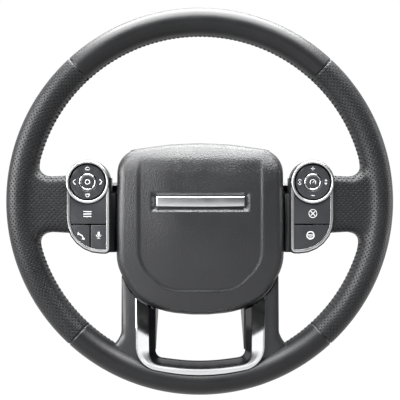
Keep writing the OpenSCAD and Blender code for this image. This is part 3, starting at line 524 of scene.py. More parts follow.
# %% Spoke body
def face_of(bm, corners, y):
    """One face through corners given as (x, z, radius), with each corner rounded by a vertex bevel."""
    verts = [bm.verts.new((x, y, z)) for x, z, r in corners]
    bm.faces.new(verts)
    for i, (x, z, r) in enumerate(corners):
        if r:
            here = Vector((x, z))
            back = Vector(corners[i - 1][:2]) - here
            on = Vector(corners[(i + 1) % len(corners)][:2]) - here
            half = back.angle(on) / 2
            bmesh.ops.bevel(
                bm, geom=[verts[i]], offset=r / math.tan(half), offset_type="OFFSET",
                segments=10, profile=0.5, affect="VERTICES", material=-1, clamp_overlap=False)
    return bm.faces[:]


def rim_inner(z):
    """How far out the rim's inner side is at a height."""
    return math.sqrt(RIM_IN ** 2 - z * z)


def remeshed(piece_mesh, voxel):
    """The outer skin of overlapping closed shapes, as an even grid of quads."""
    helper = bpy.data.objects.new("helper", piece_mesh)
    bpy.context.scene.collection.objects.link(helper)
    skin_it = helper.modifiers.new("skin", "REMESH")
    skin_it.mode = "VOXEL"
    skin_it.voxel_size = voxel
    graph = bpy.context.evaluated_depsgraph_get()
    result = bpy.data.meshes.new_from_object(helper.evaluated_get(graph))
    bpy.data.objects.remove(helper)
    bm = bmesh.new()
    bm.from_mesh(result)
    return bm


def hollowness(v):
    """How far a vertex lies below its neighbours, in millimetres."""
    middle = sum((e.other_vert(v).co for e in v.link_edges), Vector()) / len(v.link_edges)
    return (middle - v.co).dot(v.normal)


def soften(bm, verts, factor=0.5):
    """One pass of smoothing, in all three directions."""
    bmesh.ops.smooth_vert(
        bm, verts=verts, factor=factor, use_axis_x=True, use_axis_y=True, use_axis_z=True)


SPOKE_X = sized("leather_right")[0].x
SPOKE_BACK, SPOKE_DEPTH, SPOKE_ROUND = 43.5, 28.5, 9
VOXEL = 0.95
FILLET_TURNS, HOLLOW = 80, 0.004
spoke_corners = [
    (SPOKE_X, -32.5, 0),
    (rim_inner(31) - 16, -30.5, 0),
    (rim_inner(31), -31, 13),
    (rim_inner(54) + 5, -54, 0),
    (RIM_MID - 3, -54, 0),
    (RIM_MID - 3, 50, 0),
    (rim_inner(50) + 5, 50, 0),
    (rim_inner(25), 24.6, 13),
    (rim_inner(25) - 17, 25, 0),
    (SPOKE_X, 27, 0)]


def new_verts(made):
    """The vertices that an operator has just made."""
    return [g for g in made["geom"] if isinstance(g, bmesh.types.BMVert)]


def spoke_block():
    """The right spoke's block, with its long edges rounded."""
    spoke = bmesh.new()
    face_of(spoke, spoke_corners, -SPOKE_BACK)
    made = bmesh.ops.extrude_face_region(spoke, geom=spoke.faces[:])
    bmesh.ops.translate(spoke, vec=(0, -SPOKE_DEPTH, 0), verts=new_verts(made))
    bmesh.ops.recalc_face_normals(spoke, faces=spoke.faces)
    rounds = [
        e for e in spoke.edges
        if abs(e.verts[0].co.y - e.verts[1].co.y) < 0.01 and e.calc_face_angle(0) > 1
        and min(e.verts[0].co.x, e.verts[1].co.x) < RIM_MID - 4
        and not all(v.co.x < SPOKE_X + 0.01 for v in e.verts)]
    bmesh.ops.bevel(
        spoke, geom=rounds, offset=SPOKE_ROUND, offset_type="OFFSET", segments=8, profile=0.5,
        affect="EDGES", material=-1, clamp_overlap=True)
    block = bpy.data.meshes.new("spoke_block")
    spoke.to_mesh(block)
    spoke.free()
    return block


# %% [markdown]
# Only the band where the spoke meets the rim takes part in the relaxing, so the grip and the spoke
# keep their own shapes. The left panel is the right one mirrored, and its faces are turned again.

# %% Side panels
FILLET_BAND, FILLET_HALF = (146, 182), 60
for side, sign in (("right", 1), ("left", -1)):
    bm = grip(-SEAM, 2 * SEAM, turn_in=0.6)
    bm.from_mesh(spoke_block())
    joined = bpy.data.meshes.new("joined")
    bm.to_mesh(joined)
    bm.free()
    bm = remeshed(joined, VOXEL)
    soften(bm, bm.verts)
    near = [
        v for v in bm.verts
        if abs(v.co.z) < FILLET_HALF and v.co.x > SPOKE_X + 4
        and FILLET_BAND[0] < math.hypot(v.co.x, v.co.z) < FILLET_BAND[1]]
    for turn in range(FILLET_TURNS):
        bm.normal_update()
        soften(bm, [v for v in near if hollowness(v) > HOLLOW], 0.6)
    if sign < 0:
        bmesh.ops.scale(bm, vec=(-1, 1, 1), verts=bm.verts)
        bmesh.ops.reverse_faces(bm, faces=bm.faces)
    measure_hide(bm)
    panel = settle(bm, f"side_leather_{side}", "perforated_leather", sharp=70, turned=False, merge=0)
    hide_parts(f"leather_{side}")
    print(panel.name, len(panel.data.polygons), "faces")

# %% [markdown]
# ## Thread
# The hide is drawn together along the inner side of the rim by a running row of slanted stitches. Each
# is a tiny capsule, so a sphere with few faces, stretched and turned, is enough, and they all live in
# one mesh.

# %% Stitches
STITCH_PITCH, STITCH_SLANT = 4.4, 35
STITCH_SIZE = (1.1, 0.8, 1.7, 1)
BARE_AT_SPOKE, BARE_AT_TRIM = 13, 28
bm = bmesh.new()
count = round(math.tau * RIM_IN / STITCH_PITCH)
sewn = Matrix.Translation((RIM_IN + 0.05, -RIM_F - 1.0, 0))
slant = Matrix.Rotation(math.radians(STITCH_SLANT), 4, "X")
kept = 0
for i in range(count):
    angle = 360 * i / count
    beside_spoke = min(abs((angle + 180) % 360 - 180), abs(angle - 180)) < BARE_AT_SPOKE
    under_trim = abs(angle - 270) < BARE_AT_TRIM
    if beside_spoke or under_trim:
        continue
    made = bmesh.ops.create_uvsphere(bm, u_segments=6, v_segments=5, radius=1)
    turn = Matrix.Rotation(-math.radians(angle), 4, "Y")
    bmesh.ops.transform(
        bm, verts=made["verts"], matrix=turn @ sewn @ slant @ Matrix.Diagonal(STITCH_SIZE))
    kept += 1
settle(bm, "rim_thread", "thread", sharp=180, merge=0)
print(kept, "stitches")

# %% [markdown]
# ## Rounded copies of CAD nodes
# Keys, frames and the back shell have the right shape in CAD, but their edges are knife sharp, and a
# real moulding's never are. A copy of the node is merged, its flat triangles are dissolved into whole
# faces, and every sharp edge is bevelled. The bevels catch the light as real edges do.

# %% Rounding helper
def copy_of(node, merge):
    """A CAD node's mesh in millimetres, with its doubles merged."""
    bm = bmesh.new()
    bm.from_mesh(nodes[node].data)
    bmesh.ops.scale(bm, vec=(1000,) * 3, verts=bm.verts)
    bmesh.ops.remove_doubles(bm, verts=bm.verts, dist=merge)
    return bm


def rounded_copy(node, width, segments=3, angle=28, flat=1.5):
    """A copy whose edges sharper than angle are bevelled, and creases under flat dissolved."""
    bm = copy_of(node, 0.004)
    bmesh.ops.dissolve_limit(
        bm, angle_limit=math.radians(flat), use_dissolve_boundaries=False, verts=bm.verts,
        edges=bm.edges)
    edges = [
        e for e in bm.edges
        if len(e.link_faces) == 2 and e.calc_face_angle(0) > math.radians(angle)]
    bmesh.ops.bevel(
        bm, geom=edges, offset=width, offset_type="OFFSET", segments=segments, profile=0.5,
        affect="EDGES", material=-1, clamp_overlap=True)
    return bm


def round_node(node, name, finish, width, body="wheel"):
    """Puts a rounded copy in the place of a CAD node."""
    piece = settle(rounded_copy(node, width), name, finish, body, sharp=40, merge=0.0005)
    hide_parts(node)
    print(name, len(piece.data.polygons), "faces")


# %% [markdown]
# ## Airbag cover
# The cover is one soft moulding: a crowned face, a sloping brow along the top, a wide border that
# stands a little proud of the middle panel, and a recess for the bar. A sculpted form like this is
# easiest as a fine grid that is cut to the outline and then pushed forward by a height for each point.
# The border is extruded outwards and back along a quarter round, which gives the soft edge and the
# side walls.

# %% Cover outline
HALF_W, TOP, BOTTOM = 83.4, 59.3, 115.0
CROWN_F, CROWN_R, CROWN_Z = 82.0, 400.0, -10.0
BROW_H, BROW_SLOPE = 15.0, math.tan(math.radians(34))
half_outline = [
    (0, -BOTTOM, 180), (HALF_W - 43.4, 5.5 - BOTTOM, 80), (HALF_W - 17.4, 19 - BOTTOM, 45),
    (HALF_W, 51 - BOTTOM, 45), (HALF_W - 1.1, TOP - 10.2, 24), (0, TOP + 4.6, 345)]
cover_corners = half_outline + [(-x, z, r) for x, z, r in half_outline[-2:0:-1]]


def round_corners(corners, step=6):
    """The points of an outline given as corners (x, z, radius), counter-clockwise."""
    points = []
    for i, (x, z, r) in enumerate(corners):
        here = Vector((x, z))
        back = (Vector(corners[i - 1][:2]) - here).normalized()
        on = (Vector(corners[(i + 1) % len(corners)][:2]) - here).normalized()
        half = back.angle(on) / 2
        centre = here + (back + on).normalized() * r / math.sin(half)
        first = here + back * r / math.tan(half) - centre
        turn = math.pi - 2 * half
        count = max(1, math.ceil(math.degrees(turn) / step))
        points += [centre + Matrix.Rotation(turn * k / count, 2) @ first for k in range(count + 1)]
    return points


def inner_distance(outline, p):
    """How far a point lies inside a convex outline (less than 0 outside)."""
    best = 1e9
    for i, b in enumerate(outline):
        a = outline[i - 1]
        run = b - a
        if run.length > 1e-6:
            best = min(best, (run.x * (p.y - a.y) - run.y * (p.x - a.x)) / run.length)
    return best


def ease(t):
    """A soft step from 0 to 1."""
    t = min(1.0, max(0.0, t))
    return t * t * (3 - 2 * t)


def lower_of(a, b, k):
    """The lower of two heights, with a soft change from one to the other."""
    h = min(1.0, max(0.0, 0.5 + 0.5 * (b - a) / k))
    return b + (a - b) * h - k * h * (1 - h)


cover_outline = round_corners(cover_corners)
panel_outline = round_corners([
    (0, -88, 60), (34, -88, 34), (60.5, -62, 34), (60.5, 60, 1), (-60.5, 60, 1), (-60.5, -62, 34),
    (-34, -88, 34)])


def crown(x, z):
    """How far forward the plain crowned face would stand."""
    return CROWN_F - CROWN_R + math.sqrt(CROWN_R ** 2 - x * x - (z - CROWN_Z) ** 2)


BROW_SOFT, PANEL_SUNK = 7.0, 1.6
RECESS_X, RECESS_TOP, RECESS_LOW, RECESS_SLOPE, RECESS_DEPTH = 49.2, 9.9, 10.6, 4.6, 3.0


def cover_height(x, z):
    """How far forward the cover's face stands."""
    foot = TOP - BROW_H - 4.2 - 2.5 * (x / 80) ** 2
    brow = crown(x, foot) - (z - foot) * BROW_SLOPE
    h = lower_of(crown(x, z), brow, BROW_SOFT)
    inside = inner_distance(panel_outline, Vector((x, z)))
    sunk = PANEL_SUNK * ease((inside + 2.0) / 4.0) * ease((44 - z) / 14)
    h -= sunk * (1 - 0.35 * ease((inside - 6) / 30))
    into_x, into_z = RECESS_X - abs(x), (RECESS_TOP - z if z > 0 else z + RECESS_LOW)
    h -= RECESS_DEPTH * ease(min(into_x, into_z) / RECESS_SLOPE)
    return h


# %% [markdown]
# The border takes the last 8 mm of the cover, so the grid is cut to an outline that lies that far
# inside. Each side of that outline is one cut with a plane.

# %% Cover face
EDGE, GRID_STEP = 8.0, 0.95
bm = bmesh.new()
wide, tall = 2 * HALF_W + 2, TOP + BOTTOM + 2
bmesh.ops.create_grid(
    bm, x_segments=round(wide / GRID_STEP), y_segments=round(tall / GRID_STEP), size=0.5)
bmesh.ops.transform(
    bm, verts=bm.verts,
    matrix=Matrix.Translation((0, 0, (TOP - BOTTOM) / 2)) @ Matrix.Rotation(math.pi / 2, 4, "X")
    @ Matrix.Diagonal((wide, tall, 1, 1)))
inset_outline = []
for i, b in enumerate(cover_outline):
    a, c = cover_outline[i - 1], cover_outline[(i + 1) % len(cover_outline)]
    n1 = Vector((a.y - b.y, b.x - a.x)).normalized() if (a - b).length > 1e-4 else None
    n2 = Vector((b.y - c.y, c.x - b.x)).normalized() if (c - b).length > 1e-4 else None
    if n1 is None or n2 is None:
        continue
    inset_outline.append(b + (n1 + n2).normalized() * EDGE / max(0.5, math.cos(n1.angle(n2) / 2)))
for i, b in enumerate(inset_outline):
    a = inset_outline[i - 1]
    run = b - a
    if run.length < 1e-3:
        continue
    bmesh.ops.bisect_plane(
        bm, geom=bm.verts[:] + bm.edges[:] + bm.faces[:], dist=1e-5,
        plane_co=(a.x, 0, a.y), plane_no=(run.y, 0, -run.x), clear_outer=True)
for v in bm.verts:
    v.co.y = -cover_height(v.co.x, v.co.z)
print("cover face", len(bm.faces), "faces")

# %% [markdown]
# From the cut edge the border is drawn out in rings along a quarter round, each ring in the direction
# that points out of the outline there, and then straight back as the side wall. A ring starts with
# the slope that the face has, so no crease shows between the two. Solidify gives the skin its wall.

# %% Cover sides
def outward(co):
    """The direction out of the cover's outline at a border point, in (x, z)."""
    best, found = 1e9, None
    p = Vector((co.x, co.z))
    for i, b in enumerate(inset_outline):
        a = inset_outline[i - 1]
        run = b - a
        if run.length < 1e-3:
            continue
        t = min(1.0, max(0.0, (p - a).dot(run) / run.length_squared))
        d = (a + run * t - p).length
        if d < best - 1e-6:
            best, found = d, (i, t)
    i, t = found

    def normal(k):
        run = inset_outline[k % len(inset_outline)] - inset_outline[k % len(inset_outline) - 1]
        return Vector((run.y, -run.x)).normalized()

    here = normal(i)
    before = (normal(i - 1) + here).normalized() * max(0, 0.5 - t)
    after = (here + normal(i + 1)).normalized() * max(0, t - 0.5)
    return (here * (1 - abs(t - 0.5)) + (before + after)).normalized()


def next_ring(bm, border, starts):
    """Extrudes a border once. Gives the new border, and each new vertex's older one and start."""
    made = bmesh.ops.extrude_edge_only(bm, edges=border)
    older = {
        v: next(e.other_vert(v) for e in v.link_edges if e.other_vert(v) in starts)
        for v in new_verts(made)}
    border = [g for g in made["geom"] if isinstance(g, bmesh.types.BMEdge) and g.is_boundary]
    return border, older, {v: starts[old] for v, old in older.items()}


def shell_of(bm, thickness):
    """Turns an open skin to the front and gives it a wall."""
    bmesh.ops.recalc_face_normals(bm, faces=bm.faces)
    if sum(f.normal.y * f.calc_area() for f in bm.faces) > 0:
        bmesh.ops.reverse_faces(bm, faces=bm.faces)
    bmesh.ops.solidify(bm, geom=bm.faces[:], thickness=thickness)
    return bm


ROUND_RINGS, LOOK_AHEAD, STEEPEST = 8, 0.4, math.radians(36)
COVER_WALL = 2.4
border = [e for e in bm.edges if e.is_boundary]
starts = {}
for v in {v for e in border for v in e.verts}:
    n = outward(v.co)
    ahead = cover_height(v.co.x + n.x * LOOK_AHEAD, v.co.z + n.y * LOOK_AHEAD)
    lean = max(0.02, math.atan((-v.co.y - ahead) / LOOK_AHEAD))
    starts[v] = (v.co.copy(), n, min(lean, STEEPEST))
for ring in range(1, ROUND_RINGS + 1):
    border, older, starts = next_ring(bm, border, starts)
    for v, (origin, n, lean) in starts.items():
        radius = EDGE / (1 - math.sin(lean))
        tilt = lean + (math.pi / 2 - lean) * ring / ROUND_RINGS
        out = radius * (math.sin(tilt) - math.sin(lean))
        drop = radius * (math.cos(lean) - math.cos(tilt))
        v.co = origin + Vector((n.x * out, drop, n.y * out))
for back, pull in ((53.0, 0.0), (47.0, -1.0)):
    border, older, starts = next_ring(bm, border, starts)
    for v, (origin, n, lean) in starts.items():
        v.co = Vector((older[v].co.x + n.x * pull, -back, older[v].co.z + n.y * pull))
cover = settle(
    shell_of(bm, COVER_WALL), "cover_skin", "cover_skin", "airbag_module", sharp=60, turned=False,
    merge=0)
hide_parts("airbag_cover")
print(cover.name, len(cover.data.polygons), "faces")

# %% [markdown]
# ## Badge bar
# The bar in the recess is left bare. It is a slim plated bar with a soft edge that bows with the
# cover's crown. A cube cut into slices can follow that bow.

# %% Badge bar
BAR_BACK, BAR_ROUND, BAR_SLICES = 78.0, 1.3, 40
BAR_SUNK, BAR_BOW, BAR_RISE = 0.9, 0.5, 0.2
bar_low, bar_high = sized("badge_bar")
bm = bmesh.new()
bmesh.ops.create_cube(bm, size=1)
bmesh.ops.transform(
    bm, verts=bm.verts,
    matrix=Matrix.Translation((0, -(BAR_BACK + CROWN_F) / 2, 0))
    @ Matrix.Diagonal((bar_high.x - bar_low.x, CROWN_F - BAR_BACK, bar_high.z - bar_low.z, 1)))
edges = [e for e in bm.edges if all(v.co.y < -80 for v in e.verts)]
bmesh.ops.bevel(
    bm, geom=edges, offset=BAR_ROUND, offset_type="OFFSET", segments=4, profile=0.5,
    affect="EDGES", material=-1)
long_edges = [e for e in bm.edges if abs(e.verts[0].co.x - e.verts[1].co.x) > 40]
bmesh.ops.subdivide_edges(bm, edges=long_edges, cuts=BAR_SLICES, use_grid_fill=True)
for v in bm.verts:
    v.co.y -= crown(v.co.x, 0) - CROWN_F - BAR_SUNK
    v.co.z -= BAR_BOW * (1 - (v.co.x / bar_high.x) ** 2) - BAR_RISE
bar = settle(bm, "plated_bar", "satin_chrome", "airbag_module", sharp=40)
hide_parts("badge_bar")
print(bar.name, len(bar.data.polygons), "faces")

# %% [markdown]
# ## Lower trim
# The plated trim, its black liner and the covers beside them are long mouldings with a soft section. A
# grid can be bent into any of them: one direction of the grid runs along the moulding, the other goes
# round its section. The trim's legs lean back as they rise, so they mirror the dark room above the
# camera, while its lower bar faces the bright floor. That is what gives plating its contrast.

# %% Lines of the trim
def walk(points, share):
    """The point at a share of the length of a line of points."""
    lengths = [(b - a).length for a, b in zip(points, points[1:])]
    left = share * sum(lengths)
    for a, b, length in zip(points, points[1:], lengths):
        if left <= length and length > 0:
            return a.lerp(b, left / length)
        left -= length
    return points[-1].copy()


edge_heights = {}


def cover_edge(x, gap=0.7):
    """Height of the airbag cover's lower edge at a distance from the middle, with the running gap."""
    x = round(abs(x), 1)
    if x not in edge_heights:
        low, high = -BOTTOM - 5, -40.0
        while high - low > 0.01:
            middle = (low + high) / 2
            if inner_distance(cover_outline, Vector((x, middle))) > -gap:
                high = middle
            else:
                low = middle
        edge_heights[x] = low
    return edge_heights[x]


LEG_TOP = -70.0


def u_line(half_top, half_low, corner_z, corner_r, apex_z, apex_r):
    """A U from the left leg's top to the right leg's top."""
    corners = [
        (-half_top, LEG_TOP, 0.01), (-half_low, corner_z, corner_r), (0, apex_z, apex_r),
        (half_low, corner_z, corner_r), (half_top, LEG_TOP, 0.01), (0, 0, 0.01)]
    line = [p for p in round_corners(corners, 4) if p.length > 1]
    return [Vector((p.x, min(p.y, cover_edge(p.x)))) for p in line]


def bent_grid(rows, columns, shape):
    """A grid whose points are placed by shape(share along, share across)."""
    bm = bmesh.new()
    bmesh.ops.create_grid(bm, x_segments=rows, y_segments=columns, size=0.5)
    for v in bm.verts:
        v.co = shape(v.co.x + 0.5, v.co.y + 0.5)
    return bm


def on_section(section, t):
    """A point (share across, forward) on a section line, by the share of its length."""
    return walk([Vector(point) for point in section], t)


trim_outer = u_line(64.3, 63.5, -162.5, 24, -175.0, 190)
trim_inner = u_line(51.0, 50.4, -158.5, 13, -166.2, 200)
gap_line = u_line(44.2, 44.2, -153.6, 8, -159.2, 200)
SECTION_SCALE = 12.0
LEAN_FROM, LEAN_SLOPE = -127, 0.17
TRIM_SECTION = [
    (0, 66), (0, 72.9), (0.15, 73.6), (0.6, 74.1), (2, 74.6), (6, 74.95), (10, 75.05), (11.7, 75.0),
    (11.9, 74.95), (12, 74.8), (12, 69)]
LINER_SECTION = [
    (0, 69.5), (0.1, 74.2), (0.5, 74.4), (3, 73.6), (8, 71.8), (10.8, 70.7), (11.7, 70.0),
    (12, 69.0), (8.6, 60), (3, 44)]


def leg_lean(z):
    """How far back the trim's face stands at a height: nothing, a soft start, then a slope."""
    up = max(0.0, z - LEAN_FROM)
    return LEAN_SLOPE * (up - 4 if up > 8 else up * up / 16) + 0.004 * up ** 1.6


# %% [markdown]
# Each moulding now needs one function. It takes a share of the way along and a share of the way
# across, finds the point on the section, and places it between the two lines.

# %% Lower trim
def trim_shape(along, across):
    """The plating. Its lower bar bulges a little, and its legs lean back."""
    spot = on_section(TRIM_SECTION, across)
    a, b = walk(trim_outer, along), walk(trim_inner, along)
    p = a.lerp(b, spot.x / SECTION_SCALE)
    rise = (spot.y - 66) / 9
    lift = 1.4 * ease((-p.y - 145) / 22)
    return Vector((p.x, -(spot.y + rise * (lift - leg_lean(p.y + 0.6 * spot.x))), p.y))


def liner_shape(along, across):
    """The liner, which falls away from a lip under the plating into the gap."""
    spot = on_section(LINER_SECTION, across)
    a, b = walk(trim_inner, along), walk(gap_line, along)
    p = a.lerp(b, spot.x / SECTION_SCALE)
    rise = max(0, (spot.y - 50) / 20)
    return Vector((p.x, -(spot.y - rise * leg_lean(p.y)), p.y))


bm = shell_of(bent_grid(220, 30, trim_shape), 0.9)
trim = settle(bm, "trim_plated", "bright_chrome", sharp=60, turned=False, merge=0)
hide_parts("lower_trim")

bm = shell_of(bent_grid(200, 26, liner_shape), 0.8)
liner = settle(bm, "trim_liner", "gloss_black", sharp=60, turned=False, merge=0)
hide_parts("lower_trim_liner")
print(trim.name, len(trim.data.polygons), "faces;", liner.name, len(liner.data.polygons), "faces")

# %% [markdown]
# ## Bottom panel of the grip
# The bottom leather is the same spun grip, but the trim is let into it. A boolean with a block of the
# trim's own outline cuts the seat, and leaves a hairline of shadow round the plating as on the real
# wheel.

# %% Bottom panel
def block_of(outline, grown, f0, f1):
    """A closed block between two depths, with its outline moved outwards."""
    bm = bmesh.new()
    middle = sum(outline, Vector((0, 0))) / len(outline)
    points = []
    for p in outline:
        if not points or (p - points[-1]).length > 0.2:
            points.append(p)
    moved = [p + (p - middle).normalized() * grown for p in points]
    face = bm.faces.new([bm.verts.new((p.x, -f0, p.y)) for p in moved])
    made = bmesh.ops.extrude_face_region(bm, geom=[face])
    bmesh.ops.translate(bm, vec=(0, f0 - f1, 0), verts=new_verts(made))
    bmesh.ops.recalc_face_normals(bm, faces=bm.faces)
    return bm


def cut_away(bm, cutter):
    """What is left of one closed bmesh outside another."""
    shapes = []
    for label, part in (("panel", bm), ("cutter", cutter)):
        mesh = bpy.data.meshes.new(label)
        part.to_mesh(mesh)
        part.free()
        shapes.append(bpy.data.objects.new(label, mesh))
        bpy.context.scene.collection.objects.link(shapes[-1])
    cut = shapes[0].modifiers.new("cut", "BOOLEAN")
    cut.operation, cut.solver, cut.object = "DIFFERENCE", "EXACT", shapes[1]
    graph = bpy.context.evaluated_depsgraph_get()
    result = bpy.data.meshes.new_from_object(shapes[0].evaluated_get(graph))
    for shape in shapes:
        bpy.data.objects.remove(shape)
    bm = bmesh.new()
    bm.from_mesh(result)
    return bm


SEAT_GAP = 0.35
bm = grip(180 + SEAM, 180 - 2 * SEAM)
bmesh.ops.remove_doubles(bm, verts=bm.verts, dist=0.002)
bmesh.ops.recalc_face_normals(bm, faces=bm.faces)
smooth_panel(cut_away(bm, block_of(trim_outer, SEAT_GAP, 62, 90)), "bottom")

# %% [markdown]
# ## Lower spoke covers
# Dark soft mouldings cover the two lower arms outside the plating, and flare into the rim at their
# feet. They are bent grids too. Their inner edge follows the trim's side, so the two meet in one line
# all the way up.

# %% Lower spoke covers
LEG_SECTION = [
    (0, 58), (0, 63.6), (0.4, 65.6), (1.6, 67.4), (3.6, 68.6), (6.5, 69.2), (10, 69.4), (11.7, 69.3),
    (12, 68.9), (12, 66.5)]
LEG_LOW, LEG_SIDE = -157.0, 78.5
FLARE_FROM, FLARE_MOST, FLARE = -128, 15.0, 0.032


def trim_side(z):
    """Half the width of the plated trim at a height."""
    points = [p for p in trim_outer if p.x > 0]
    for a, b in zip(points, points[1:]):
        if a.y <= z <= b.y and b.y > a.y:
            return a.x + (b.x - a.x) * (z - a.y) / (b.y - a.y)
    return points[-1].x


def leg_shape(sign):
    """The bend for one side's cover, from the rim up to the airbag cover's edge."""
    def shape(along, across):
        spot = on_section(LEG_SECTION, across)
        z = LEG_LOW + (cover_edge(78.0) - LEG_LOW) * along
        outer_x = LEG_SIDE + FLARE * min(FLARE_MOST, max(0.0, FLARE_FROM - z)) ** 2
        inner_x = trim_side(z) - 0.4
        x = outer_x + (inner_x - outer_x) * spot.x / SECTION_SCALE
        z = LEG_LOW + (cover_edge(min(x, 80.0)) - LEG_LOW) * along
        rise = (spot.y - 58) / 11
        return Vector((sign * x, -(spot.y - rise * 0.6 * leg_lean(z)), z))
    return shape


for side, sign in (("left", -1), ("right", 1)):
    bm = shell_of(bent_grid(90, 28, leg_shape(sign)), 1.6)
    cover = settle(bm, f"spoke_cover_{side}", "soft_plastic", sharp=60, turned=False, merge=0)
    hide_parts(f"lower_spoke_cover_{side}")
    print(cover.name, len(cover.data.polygons), "faces")

# %% [markdown]
# ## Back shell
# The shell behind the hub closes the wheel at the back. It is a rounded copy of the CAD node. On the
# real wheel daylight shows above the side spokes, between the rim and the switch packs, so the shell's
# side arms are pressed down there to the height of the spokes.

# %% Back shell
ARM_FROM, ARM_BLEND, ARM_TOP, ARM_PRESS = 70, 9, 15, 0.96
bm = rounded_copy("back_cover", 0.8, angle=35, flat=4)
for v in bm.verts:
    if abs(v.co.x) > ARM_FROM and v.co.z > ARM_TOP:
        press = ARM_PRESS * ease((abs(v.co.x) - ARM_FROM) / ARM_BLEND)
        v.co.z = ARM_TOP + (v.co.z - ARM_TOP) * (1 - press)
shell = settle(bm, "back_shell", "soft_plastic", sharp=40, merge=0.0005)
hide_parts("back_cover")
print(shell.name, len(shell.data.polygons), "faces")

# %% [markdown]
# ## Switch packs
# Both packs are the same mouldings, mirrored. The round parts are spun from their sections, which is
# how a lathe or a round mould makes them. The keys and frames are rounded copies of the CAD.

# %% Switch pack helpers
ring_low, ring_high = sized("right_ring")
RING_X, RING_Z = (ring_low.x + ring_high.x) / 2, (ring_low.z + ring_high.z) / 2
print("switch ring at", round(RING_X, 2), round(RING_Z, 2))


def lathed(section, sign, segments=96):
    """A closed section of (radius, forward) points spun round a switch ring's axis."""
    bm = bmesh.new()
    verts = [bm.verts.new((r, -f, 0)) for r, f in section]
    for i, v in enumerate(verts):
        if not (section[i][0] == 0 and section[i - 1][0] == 0):
            bm.edges.new((verts[i - 1], v))
    bmesh.ops.spin(
        bm, geom=bm.verts[:] + bm.edges[:], cent=(0, 0, 0), axis=(0, -1, 0),
        angle=math.tau, steps=segments, use_merge=True)
    bmesh.ops.remove_doubles(bm, verts=bm.verts, dist=0.001)
    bmesh.ops.translate(bm, vec=(sign * RING_X, 0, RING_Z), verts=bm.verts)
    return bm


def stroke(bm, start, end, width, f0, f1):
    """A straight printed stroke between two points given as (x, z)."""
    a, b = Vector(start), Vector(end)
    run, middle = b - a, (a + b) / 2
    made = bmesh.ops.create_cube(bm, size=1)
    spot = Matrix.Translation((middle.x, -(f0 + f1) / 2, middle.y))
    slant = Matrix.Rotation(-math.atan2(run.y, run.x), 4, "Y")
    bmesh.ops.transform(
        bm, verts=made["verts"],
        matrix=spot @ slant @ Matrix.Diagonal((run.length + width * 0.9, f1 - f0, width, 1)))


def arc(bm, centre, radius, width, f0, f1, start=0, sweep=360):
    """A printed ring, or part of one, which keeps the face at its ends."""
    other = bmesh.new()
    low, high = radius - width / 2, radius + width / 2
    corners = [(low, -f0), (high, -f0), (high, -f1), (low, -f1)]
    face = other.faces.new([other.verts.new((x, y, 0)) for x, y in corners])
    bmesh.ops.rotate(
        other, cent=(0, 0, 0), matrix=Matrix.Rotation(-math.radians(start), 3, "Y"),
        verts=other.verts)
    full = sweep >= 360
    if full:
        bmesh.ops.delete(other, geom=[face], context="FACES_ONLY")
    bmesh.ops.spin(
        other, geom=other.verts[:] + other.edges[:] + other.faces[:], cent=(0, 0, 0),
        axis=(0, -1, 0), angle=math.radians(sweep), steps=max(6, round(sweep / 12)), use_merge=full)
    bmesh.ops.translate(other, vec=(centre[0], 0, centre[1]), verts=other.verts)
    spare = bpy.data.meshes.new("spare")
    other.to_mesh(spare)
    other.free()
    bm.from_mesh(spare)
    bpy.data.meshes.remove(spare)


def strokes(bm, points, width, f0, f1, closed=False):
    """Printed strokes from point to point."""
    pairs = list(zip(points, points[1:])) + ([(points[-1], points[0])] if closed else [])
    for a, b in pairs:
        stroke(bm, a, b, width, f0, f1)


# %% [markdown]
# The round parts come first. A silver ring holds each four-way pad. Inside it a bright hoop runs round
# the middle key. The pad has four faint ridges between its arrows, so its spun skin is lifted a little
# there. That skin lies on the CAD pad, which stays below it.

# %% Rings, pads and middle keys
RING_SECTION = [
    (21.2, 73.0), (21.2, 74.2), (20.9, 74.9), (20.3, 75.35), (19.6, 75.5), (19.0, 75.3),
    (18.6, 74.9), (18.4, 74.3), (18.4, 70.0), (19.3, 70.0), (19.3, 73.0)]
PAD_SECTION = [
    (9.05, 70.6), (16.92, 70.6), (16.92, 73.3), (16.6, 73.75), (16.0, 73.85), (13.0, 73.55),
    (10.2, 73.6), (9.4, 73.75), (9.05, 73.5)]
HOOP_SECTION = [
    (6.72, 71.7), (8.28, 71.7), (8.28, 73.6), (8.0, 74.0), (7.5, 74.15), (7.0, 74.0), (6.72, 73.6)]
CAP_SECTION = [
    (0, 74.0), (3.5, 74.05), (5.6, 74.2), (6.3, 74.1), (6.66, 73.7), (6.66, 71.6), (6.5, 71.6),
    (6.5, 57.0), (0, 57.0)]
PAD_RIDGE = 0.3

for side, sign in (("right", 1), ("left", -1)):
    ring = settle(lathed(RING_SECTION, sign), f"{side}_silver_ring", "satin_silver", sharp=50)
    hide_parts(f"{side}_ring")
    bm = lathed(PAD_SECTION, sign, 128)
    for v in bm.verts:
        turn = math.atan2(v.co.z - RING_Z, v.co.x - sign * RING_X)
        radius = math.hypot(v.co.z - RING_Z, v.co.x - sign * RING_X)
        if -v.co.y > 73.4 and 9.6 < radius < 16.3:
            v.co.y -= PAD_RIDGE * (1 - abs(math.cos(2 * turn))) ** 3
    settle(bm, f"{side}_pad_skin", "key_plastic", f"{side}_pad", sharp=40)
    hoop = settle(
        lathed(HOOP_SECTION, sign), f"{side}_chrome_hoop", "bright_chrome", f"{side}_dome", sharp=50)
    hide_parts(f"{side}_dome_ring")
    cap = settle(
        lathed(CAP_SECTION, sign), f"{side}_middle_cap", "key_plastic", f"{side}_dome", sharp=50)
    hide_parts(f"{side}_dome_key")
    print(side, "ring", len(ring.data.polygons), "hoop", len(hoop.data.polygons), "faces")

# %% [markdown]
# The other keys, the silver frame round them and the housing have odd outlines, so they are rounded
# copies of the CAD nodes. Metal frames have the widest edge radius, and thin mouldings the least.

